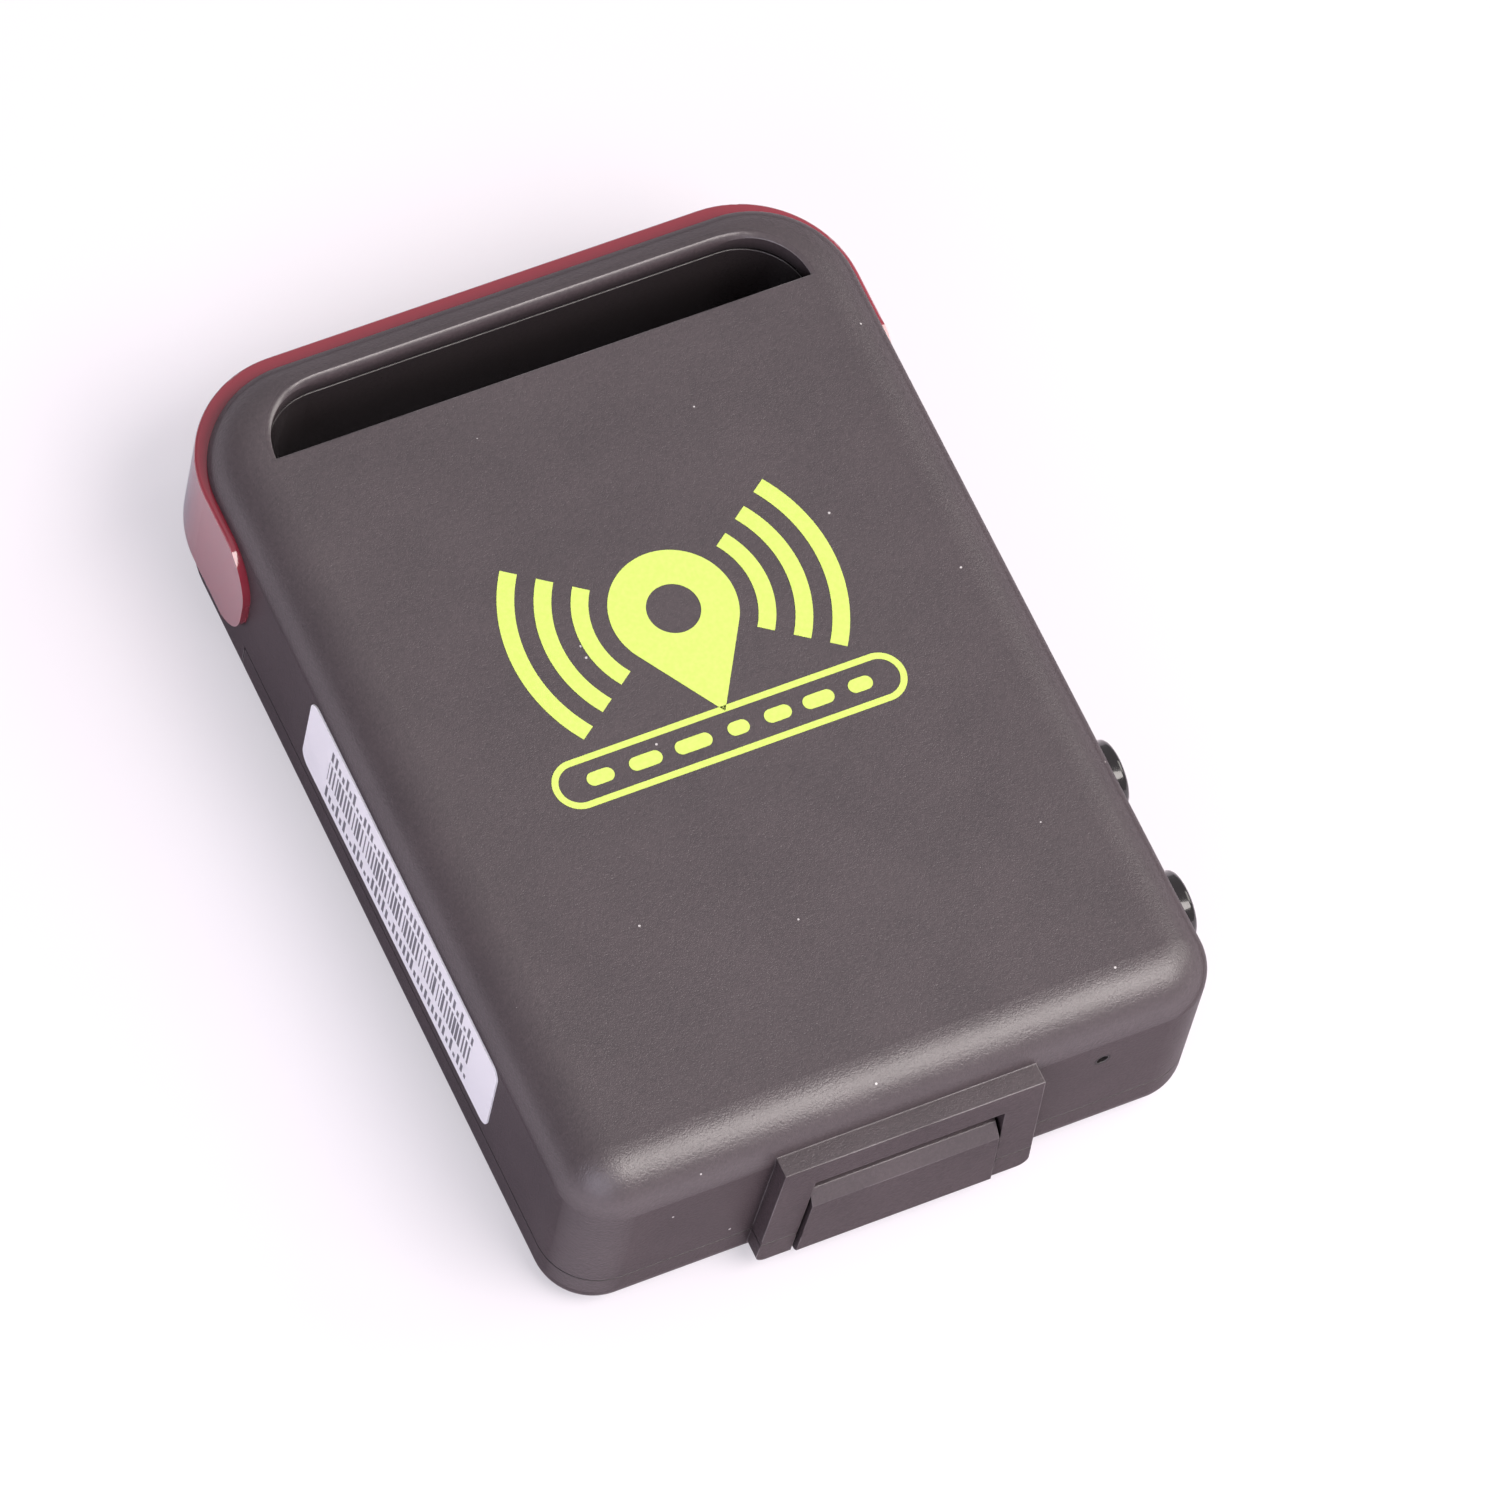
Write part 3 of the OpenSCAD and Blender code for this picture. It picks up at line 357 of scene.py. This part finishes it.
def goldPlating():
    # thin gold over nickel: warm, with fine stamping lines
    mat, shader, point = startMaterial("goldPlating", "#d2a752", {"Metallic": 1.0, "Roughness": 0.24})
    drawn = addNode(mat, "Mapping", {"Vector": point, "Scale": (0.1, 1.0, 1.0)})
    marks = addNode(mat, "TexNoise", {"Vector": drawn, "Scale": 1 / (0.08 * mm), "Detail": 3.0})
    drive(mat, shader, marks, dull=(0.18, 0.36), relief=(0.003, 0.5))
    return mat


def etchedCarrier():
    # plated flexible antenna on its carrier: gold meanders on amber film
    mat, shader, point = startMaterial("etchedCarrier", "#8f7a4a", {"Roughness": 0.4, "IOR": 1.5})
    meander = addNode(mat, "TexBrick", {
        "Vector": point, "Scale": 1.0, "Brick Width": 1.8 * mm, "Row Height": 0.9 * mm,
        "Mortar Size": 0.16 * mm, "offset": 0.5}).outputs["Fac"]
    drive(mat, shader, meander, tones=("#7c5f2a", "#caa452"), span=(0.0, 1.0))
    feed(mat, shader, "Metallic", meander)
    return mat


def cardPvc():
    # laminated PVC card: off-white, smooth, slightly waxy
    mat, shader, point = startMaterial("cardPvc", "#e6e3d8", {
        "Roughness": 0.35, "IOR": 1.52, "Subsurface Weight": 0.05})
    wax = addNode(mat, "TexNoise", {"Vector": point, "Scale": 1 / (2.2 * mm)})
    drive(mat, shader, wax, dull=(0.28, 0.42))
    return mat


def shrinkWrap():
    # dark PVC shrink wrap over the cell: soft gloss, tight ripples
    mat, shader, point = startMaterial("shrinkWrap", "#33363c", {"Roughness": 0.36, "IOR": 1.52})
    pulled = addNode(mat, "Mapping", {"Vector": point, "Scale": (1.0, 0.25, 1.0)})
    ripples = addNode(mat, "TexNoise", {"Vector": pulled, "Scale": 1 / (2.2 * mm), "Detail": 3.0})
    drive(mat, shader, ripples, dull=(0.3, 0.45), relief=(0.08, 0.5))
    return mat


def mouldedRubber():
    # moulded silicone rubber: dull and a little dusty
    mat, shader, point = startMaterial("mouldedRubber", "#1c1a1b", {
        "Roughness": 0.72, "IOR": 1.45, "Sheen Weight": 0.2})
    dust = addNode(mat, "TexNoise", {"Vector": point, "Scale": 1 / (0.4 * mm),
                                     "Detail": 4.0, "Roughness": 0.7})
    drive(mat, shader, dust, tones=("#171516", "#262425"), relief=(0.01, 0.5))
    return mat


def ledEpoxy():
    # clear epoxy over a white reflector cup
    mat, shader, point = startMaterial("ledEpoxy", "#ece8da", {
        "Roughness": 0.14, "IOR": 1.54, "Coat Weight": 0.8})
    phosphor = addNode(mat, "TexNoise", {"Vector": point, "Scale": 1 / (0.7 * mm), "Detail": 1.0})
    drive(mat, shader, phosphor, tones=("#e9e3c8", "#f4f1e8"))
    return mat


def firedChipParts():
    # small fired chip capacitors: brown bodies, a dry face
    mat, shader, point = startMaterial("firedChipParts", "#8b7658", {"Roughness": 0.5, "IOR": 1.55})
    batch = addNode(mat, "TexNoise", {"Vector": point, "Scale": 1 / (1.4 * mm), "Detail": 1.0})
    drive(mat, shader, batch, tones=("#75603f", "#a08a6a"))
    return mat


def zincPlate():
    # zinc-plated steel screws: blue-white metal, turned and tumbled
    mat, shader, point = startMaterial("zincPlate", "#9da1a6", {"Metallic": 1.0, "Roughness": 0.34})
    tumbled = addNode(mat, "TexNoise", {"Vector": point, "Scale": 1 / (0.2 * mm),
                                        "Detail": 4.0, "Roughness": 0.65})
    drive(mat, shader, tumbled, tones=("#8b8f94", "#b0b4b8"), dull=(0.26, 0.46))
    return mat


def printInk():
    # lime pad-print ink: opaque, thin, satin
    mat, shader, point = startMaterial("printInk", "#d2e772", {"Roughness": 0.42, "IOR": 1.5})
    lay = addNode(mat, "TexNoise", {"Vector": point, "Scale": 1 / (0.3 * mm), "Detail": 3.0})
    drive(mat, shader, lay, tones=("#cee36c", "#d6ea77"), relief=(0.006, 0.4))
    return mat


def setMaterial(piece, mat):
    piece.data.materials.clear()
    piece.data.materials.append(mat)


shellPlastic = sparkErodedAbs()
bandPlastic = tintedAcrylic()
keyPlastic = polishedAbs()
tinned = tinnedSheet()
compound = mouldingCompound()
gilt = goldPlating()
rubber = mouldedRubber()
nodeFinish = {
    "front_shell": shellPlastic, "rear_shell": shellPlastic, "battery_cover": shellPlastic,
    "window_band": bandPlastic, "side_label": stickerFilm(),
    "power_key": keyPlastic, "alarm_key": keyPlastic, "power_switch": tinned, "alarm_switch": tinned,
    "main_board": solderMask(), "processor": compound, "gps_antenna": firedCeramic(),
    "antenna_plate": silverPlating(), "gps_shield": tinned, "gsm_shield": tinned,
    "gsm_antenna": etchedCarrier(), "sim_holder": tinned, "sim_card": cardPvc(), "battery_pack": shrinkWrap(),
    "battery_terminals": gilt, "battery_contacts": gilt, "microphone": tinned, "mic_boot": rubber,
    "usb_socket": tinned, "usb_tongue": compound, "status_leds": ledEpoxy(),
    "board_parts": firedChipParts(),
    "case_screws": zincPlate(),
}
for name, mat in nodeFinish.items():
    setMaterial(nodes[name], mat)
print("materials set")


# Pieces modelled here, in millimetres
def clearSelection():
    bpy.ops.object.select_all(action="DESELECT")


def pickVerts(piece, wanted):
    # in edit mode: selects the vertices for which wanted(place in mm) holds
    bpy.ops.object.mode_set(mode="EDIT")
    bpy.ops.mesh.select_mode(type="VERT")
    bpy.ops.mesh.select_all(action="DESELECT")
    bpy.ops.object.mode_set(mode="OBJECT")
    for v in piece.data.vertices:
        v.select = bool(wanted(v.co / mm))
    bpy.ops.object.mode_set(mode="EDIT")


def raiseSheet(piece, height):
    # gives a flat sheet its thickness
    bpy.ops.object.mode_set(mode="EDIT")
    bpy.ops.mesh.select_all(action="SELECT")
    bpy.ops.mesh.extrude_region_move(TRANSFORM_OT_translate={"value": (0, 0, height * mm)})
    bpy.ops.mesh.select_all(action="SELECT")
    bpy.ops.mesh.normals_make_consistent(inside=False)
    bpy.ops.object.mode_set(mode="OBJECT")


def joinAll(pieces, name):
    clearSelection()
    for piece in pieces:
        piece.select_set(True)
    bpy.context.view_layer.objects.active = pieces[0]
    bpy.ops.object.join()
    pieces[0].name = name
    return pieces[0]


def finishPiece(piece, mat, body, smoothAngle=35):
    setMaterial(piece, mat)
    clearSelection()
    piece.select_set(True)
    bpy.context.view_layer.objects.active = piece
    bpy.ops.object.shade_smooth_by_angle(angle=math.radians(smoothAngle))
    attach(piece, body)


def cutWith(piece, cutter):
    clearSelection()
    piece.select_set(True)
    bpy.context.view_layer.objects.active = piece
    cut = piece.modifiers.new("cut", "BOOLEAN")
    cut.operation = "DIFFERENCE"
    cut.solver = "EXACT"
    cut.object = cutter
    bpy.ops.object.modifier_apply(modifier="cut")
    bpy.data.objects.remove(cutter)


def turned(name, start, axis, rings, sides=64):
    # a solid of revolution: a disc extruded ring by ring; rings are (travel along the axis, radius) in mm
    clearSelection()
    way = Vector(axis)
    place = Vector(start) + way * rings[0][0]
    bpy.ops.mesh.primitive_circle_add(vertices=sides, radius=rings[0][1] * mm, fill_type="NGON",
                                      location=place * mm, rotation=way.to_track_quat("Z", "Y").to_euler())
    piece = bpy.context.object
    piece.name = name
    bpy.ops.object.transform_apply(location=True, rotation=True, scale=True)
    bpy.ops.object.mode_set(mode="EDIT")
    bpy.ops.mesh.select_mode(type="FACE")
    bpy.ops.mesh.select_all(action="SELECT")
    for (before, wide), (after, narrow) in zip(rings, rings[1:]):
        bpy.ops.mesh.extrude_region_move(TRANSFORM_OT_translate={"value": way * (after - before) * mm})
        if narrow != wide:
            middle = (Vector(start) + way * after) * mm
            bpy.ops.transform.resize(value=(narrow / wide,) * 3, center_override=middle)
    bpy.ops.mesh.select_all(action="SELECT")
    bpy.ops.mesh.normals_make_consistent(inside=False)
    bpy.ops.object.mode_set(mode="OBJECT")
    return piece


def copied(piece, name, step):
    # a copy with its own mesh, moved by step in mm
    clearSelection()
    piece.select_set(True)
    bpy.context.view_layer.objects.active = piece
    bpy.ops.object.duplicate(linked=False)
    twin = bpy.context.object
    twin.name = name
    twin.location = Vector(step) * mm
    bpy.ops.object.transform_apply(location=True, rotation=True, scale=True)
    return twin


def block(name, low, high):
    # a box from one corner to the other, as a raised sheet
    clearSelection()
    middle = [(a + b) / 2 * mm for a, b in zip(low, high)]
    bpy.ops.mesh.primitive_plane_add(size=mm, location=(middle[0], middle[1], low[2] * mm))
    piece = bpy.context.object
    piece.name = name
    piece.scale = (high[0] - low[0], high[1] - low[1], 1)
    bpy.ops.object.transform_apply(location=True, rotation=True, scale=True)
    raiseSheet(piece, high[2] - low[2])
    return piece


def roundEdges(piece, width, segments=4):
    clearSelection()
    piece.select_set(True)
    bpy.context.view_layer.objects.active = piece
    soften = piece.modifiers.new("soften", "BEVEL")
    soften.width = width * mm
    soften.segments = segments
    soften.limit_method = "ANGLE"
    soften.angle_limit = math.radians(40)
    bpy.ops.object.modifier_apply(modifier="soften")


# Generic print on the front: a location pin between signal arcs, over a framed row of pills
emblem = {
    "faceZ": 16.404, "film": 0.03,
    "pinPlace": (0.3, 5.2), "pinRadius": 4.3, "pinDrop": 8.0, "pinHole": 1.8,
    "arcRadii": (6.1, 8.5, 10.9), "arcWidth": 1.15, "arcHalfAngle": 35,
    "barPlace": (0.0, -4.2), "barWidth": 25.0, "barHeight": 3.6, "barLine": 0.45,
    "pills": (-9.2, -6.0, -2.6, 0.6, 3.4, 6.3, 9.3), "pillWidths": (1.9, 2.3, 2.6, 1.5, 1.9, 2.2, 1.7),
    "pillHeight": 1.0, "tipCut": 0.02, "tipReach": 0.01,
}


def outline(name, place, radius, sides=96, reach=0.0):
    # a ring of edges; its two halves are drawn apart by reach to make a stadium
    x, y = place
    clearSelection()
    bpy.ops.mesh.primitive_circle_add(vertices=sides, radius=radius * mm, fill_type="NOTHING",
                                      location=(x * mm, y * mm, emblem["faceZ"] * mm))
    piece = bpy.context.object
    piece.name = name
    bpy.ops.object.transform_apply(location=True, rotation=True, scale=True)
    if reach:
        for side in (-1, 1):
            pickVerts(piece, lambda v: (v.x - x) * side > 0.001)
            bpy.ops.transform.translate(value=(side * reach * mm, 0, 0))
            bpy.ops.object.mode_set(mode="OBJECT")
    return piece


def filledSheet(loops, name):
    # fills between the loops and gives the sheet the thickness of the ink
    sheet = joinAll(loops, name) if len(loops) > 1 else loops[0]
    clearSelection()
    sheet.select_set(True)
    bpy.context.view_layer.objects.active = sheet
    bpy.ops.object.mode_set(mode="EDIT")
    bpy.ops.mesh.select_mode(type="EDGE")
    bpy.ops.mesh.select_all(action="SELECT")
    bpy.ops.mesh.fill(use_beauty=True)
    bpy.ops.object.mode_set(mode="OBJECT")
    raiseSheet(sheet, emblem["film"])
    return sheet


def emblemPin():
    # a ring drawn down to a point, with a round hole
    x, y = emblem["pinPlace"]
    radius = emblem["pinRadius"]
    rim = outline("emblemPin", (x, y), radius)
    tangent = math.asin(radius / emblem["pinDrop"])
    lowest = y - radius * math.sin(tangent) - emblem["tipCut"]
    pickVerts(rim, lambda v: v.y < lowest)
    bpy.ops.mesh.merge(type="CENTER")
    bpy.ops.mesh.select_all(action="DESELECT")
    bpy.ops.object.mode_set(mode="OBJECT")
    tip = min((v.co / mm for v in rim.data.vertices), key=lambda v: v.y)
    pickVerts(rim, lambda v: v.y < tip.y + emblem["tipReach"])
    bpy.ops.transform.translate(value=((x - tip.x) * mm, (y - emblem["pinDrop"] - tip.y) * mm, 0))
    bpy.ops.object.mode_set(mode="OBJECT")
    return filledSheet([rim, outline("pinHole", (x, y), emblem["pinHole"], 64)], "emblemPin")


def emblemArc(radius, side):
    # a short line spun about the pin's middle in edit mode
    x, y = emblem["pinPlace"]
    z = emblem["faceZ"]
    half = math.radians(emblem["arcHalfAngle"])
    clearSelection()
    bpy.ops.mesh.primitive_plane_add(size=emblem["arcWidth"] * mm,
                                     location=((x + side * radius) * mm, y * mm, z * mm))
    arc = bpy.context.object
    arc.name = "emblemArc"
    bpy.ops.object.transform_apply(location=True, rotation=True, scale=True)
    pickVerts(arc, lambda v: v.y > y)
    bpy.ops.mesh.delete(type="VERT")
    bpy.ops.mesh.select_all(action="SELECT")
    bpy.ops.transform.translate(value=(0, emblem["arcWidth"] / 2 * mm, 0))
    centre = (x * mm, y * mm, z * mm)
    bpy.ops.transform.rotate(value=half, orient_axis="Z", center_override=centre)
    bpy.ops.mesh.spin(steps=28, angle=2 * half, center=centre, axis=(0, 0, -1))
    bpy.ops.object.mode_set(mode="OBJECT")
    raiseSheet(arc, emblem["film"])
    return arc


def emblemBar():
    # a framed bar holding a row of pills
    place, high, line = emblem["barPlace"], emblem["barHeight"], emblem["barLine"]
    reach = (emblem["barWidth"] - high) / 2
    loops = [outline("emblemBar", place, high / 2, 64, reach),
             outline("barInside", place, high / 2 - line, 64, reach)]
    row = [filledSheet(loops, "emblemBar")]
    for at, width in zip(emblem["pills"], emblem["pillWidths"]):
        small = emblem["pillHeight"] / 2
        pill = outline("emblemPill", (at, place[1]), small, 32, width / 2 - small)
        row.append(filledSheet([pill], "emblemPill"))
    return row


printParts = [emblemPin()]
printParts += [emblemArc(r, side) for r in emblem["arcRadii"] for side in (-1, 1)]
frontPrint = joinAll(printParts + emblemBar(), "frontPrint")
finishPiece(frontPrint, printInk(), "case", 20)
print("front print made:", len(frontPrint.data.polygons), "faces")


# Side keys: glossy caps with a rounded rim and a shallow dish, on the flange that keeps them in
keyCap = {
    "bodies": {"power_key": -13.1, "alarm_key": -23.3}, "height": 9.4, "back": 20.75,
    "rings": ((0, 2.8), (0.65, 2.8), (0.651, 2.4), (3.42, 2.4), (3.57, 2.36), (3.68, 2.27), (3.74, 2.14),
              (3.75, 2.0), (3.73, 1.7), (3.69, 1.2), (3.67, 0.6), (3.66, 0.1)),
}
master = turned("keyCap", (keyCap["back"], 0, keyCap["height"]), (1, 0, 0), keyCap["rings"], 96)
for body, y in keyCap["bodies"].items():
    cap = copied(master, body + "Cap", (0, y, 0))
    finishPiece(cap, keyPlastic, body)
    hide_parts(body)
bpy.data.objects.remove(master)
print("keys made")


# Case screws: pan heads with a cross recess, heads towards the back
crossScrew = {
    "places": ((-19.85, -28.0), (19.85, -28.0), (-19.85, 16.95), (19.85, 16.95)),
    "under": 6.8, "headHigh": 1.0, "recess": 0.55, "slotLong": 0.72, "slotWide": 0.19,
    "overrun": 1.0,
    "rings": ((0, 0.75), (0.1, 1.02), (0.28, 1.22), (0.5, 1.3), (1.0, 1.3), (1.001, 0.62), (5.0, 0.62),
              (5.2, 0.45)),
}
foot = crossScrew["under"] - crossScrew["headHigh"]
below, top = foot - crossScrew["overrun"], foot + crossScrew["recess"]
arms = ((crossScrew["slotLong"], crossScrew["slotWide"]), (crossScrew["slotWide"], crossScrew["slotLong"]))
master = turned("crossScrew", (0, 0, foot), (0, 0, 1), crossScrew["rings"], 48)
for long, wide in arms:
    cutWith(master, block("recess", (-long, -wide, below), (long, wide, top)))
screws = [copied(master, "crossScrew", (x, y, 0)) for x, y in crossScrew["places"]]
bpy.data.objects.remove(master)
caseScrews = joinAll(screws, "caseScrews")
finishPiece(caseScrews, nodeFinish["case_screws"], "case")
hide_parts("case_screws")
print("screws made")


# Battery: the wrapped cell stays as it is, with amber tape over its protection board
cellTape = {"low": (-17.04, 12.4, 1.66), "high": (17.04, 15.57, 6.54), "round": 1.02}


def polyimideTape():
    # amber polyimide tape: thin, glossy, faintly wrinkled
    mat, shader, point = startMaterial("polyimideTape", "#b4741d", {
        "Roughness": 0.2, "IOR": 1.6, "Coat Weight": 0.4})
    wrinkles = addNode(mat, "TexNoise", {"Vector": point, "Scale": 1 / (1.1 * mm), "Detail": 3.0})
    drive(mat, shader, wrinkles, tones=("#a5660f", "#c08428"), relief=(0.03, 0.5))
    return mat


tape = block("cellTape", cellTape["low"], cellTape["high"])
roundEdges(tape, cellTape["round"], 6)
finishPiece(tape, polyimideTape(), "case")
print("battery tape made")


# The lamps and the world light the object at a plain level, at which a colour renders about as it is written
studio = {
    "floorSize": 6.0, "floorColour": "#e6e0e8",
    "glowColour": "#fdfafe", "floorGlow": 1.17, "glowShare": 0.4,
    "worldColour": "#f6f4fa", "skylineStrength": 0.44, "zenithStrength": 0.53,
    "darkSide": (-0.92, 0.39, 0.0), "darkShare": 0.4, "darkFrom": (0.35, 0.95),
    "lamps": {  # name: (place, aim, size, watts, colour)
        "rightBox": ((0.85, -0.05, 0.62), (0.0, 0.0, 0.0), 0.5, 2.6, "#fffaf4"),
        "nearCard": ((0.253, -0.42, 0.707), (0.0, 0.0, 0.0), 0.56, 7.1, "#fff8f4"),
        "leftCard": ((-0.565, -0.493, 0.390), (0.0, 0.0, 0.0), 0.6, 2.8, "#eeebfe"),
    },
}


def layFloor():
    clearSelection()
    bpy.ops.mesh.primitive_plane_add(size=studio["floorSize"], location=(0, 0, 0))
    floor = bpy.context.object
    floor.name = "floor"
    mat, shader = startMaterial("pearlPaper", studio["floorColour"], {
        "Roughness": 0.7, "Specular IOR Level": 0.2})[:2]
    glow = addNode(mat, "Emission", {"Color": colourOf(studio["glowColour"]),
                                     "Strength": studio["floorGlow"]})
    # only the camera sees the glow, which keeps the shadow on the floor pale
    seen = addNode(mat, "LightPath").outputs["Is Camera Ray"]
    share = addNode(mat, "Math", {"operation": "MULTIPLY", 0: seen, 1: studio["glowShare"]})
    blend = addNode(mat, "MixShader", {0: share, 1: shader, 2: glow})
    feed(mat, mat.node_tree.nodes["Material Output"], "Surface", blend.outputs[0])
    setMaterial(floor, mat)


def lightWorld():
    world = bpy.data.worlds.new("studio")
    bpy.context.scene.world = world
    world.use_nodes = True
    world.node_tree.nodes.clear()
    way = addNode(world, "TexCoord").outputs["Generated"]
    height = addNode(world, "SeparateXYZ", {"Vector": way}).outputs["Z"]
    sky = addNode(world, "MapRange", {"Value": height, "To Min": studio["skylineStrength"],
                                      "To Max": studio["zenithStrength"]})
    toSide = addNode(world, "VectorMath", {"operation": "DOT_PRODUCT", 0: way, 1: studio["darkSide"]})
    start, full = studio["darkFrom"]
    wall = addNode(world, "MapRange", {"Value": toSide.outputs["Value"], "From Min": start, "From Max": full,
                                       "To Min": 1.0, "To Max": studio["darkShare"]})
    dimmed = addNode(world, "Math", {"operation": "MULTIPLY", 0: sky, 1: wall})
    # the camera and what shows through clear pieces see plain white instead
    path = addNode(world, "LightPath")
    direct = addNode(world, "Math", {"operation": "MAXIMUM", 0: path.outputs["Is Camera Ray"],
                                     1: path.outputs["Is Transmission Ray"]})
    strength = addNode(world, "Mix", {"data_type": "FLOAT", 0: direct, 2: dimmed, 3: 1.0})
    back = addNode(world, "Background", {"Color": colourOf(studio["worldColour"]), "Strength": strength})
    addNode(world, "OutputWorld", {"Surface": back})


def hangLamps():
    for name, (place, aim, size, watts, colour) in studio["lamps"].items():
        lamp = bpy.data.lights.new(name, "AREA")
        lamp.size = size
        lamp.energy = watts
        lamp.color = colourOf(colour)[:3]
        holder = bpy.data.objects.new(name, lamp)
        bpy.context.scene.collection.objects.link(holder)
        holder.location = place
        holder.rotation_euler = (Vector(aim) - Vector(place)).to_track_quat("-Z", "Y").to_euler()


photo = {
    "height": 1500, "focal": 13361.4,  # in the photograph's pixels
    "sensor": 36, "near": 0.05, "far": 20,
    "eye": (-251.64 * mm, -329.65 * mm, 768.50 * mm),
    "right": (0.9004347, -0.4175795, 0.1218391),
    "down": (-0.3205265, -0.8262917, -0.4631466),
    "ahead": (0.2940752, 0.3779806, -0.8778670),
}


def placeCamera():
    # the view solved from the straight edges of the body in the photograph
    lens = bpy.data.cameras.new("photoView")
    lens.sensor_width = photo["sensor"]
    lens.lens = photo["focal"] * lens.sensor_width / photo["height"]
    lens.clip_start = photo["near"]
    lens.clip_end = photo["far"]
    camera = bpy.data.objects.new("photoView", lens)
    bpy.context.scene.collection.objects.link(camera)
    turn = Matrix((photo["right"], -Vector(photo["down"]), -Vector(photo["ahead"]))).transposed().to_4x4()
    camera.matrix_world = Matrix.Translation(photo["eye"]) @ turn
    bpy.context.scene.camera = camera


layFloor()
lightWorld()
hangLamps()
placeCamera()
bpy.context.scene.view_settings.view_transform = "Standard"
print("studio ready")
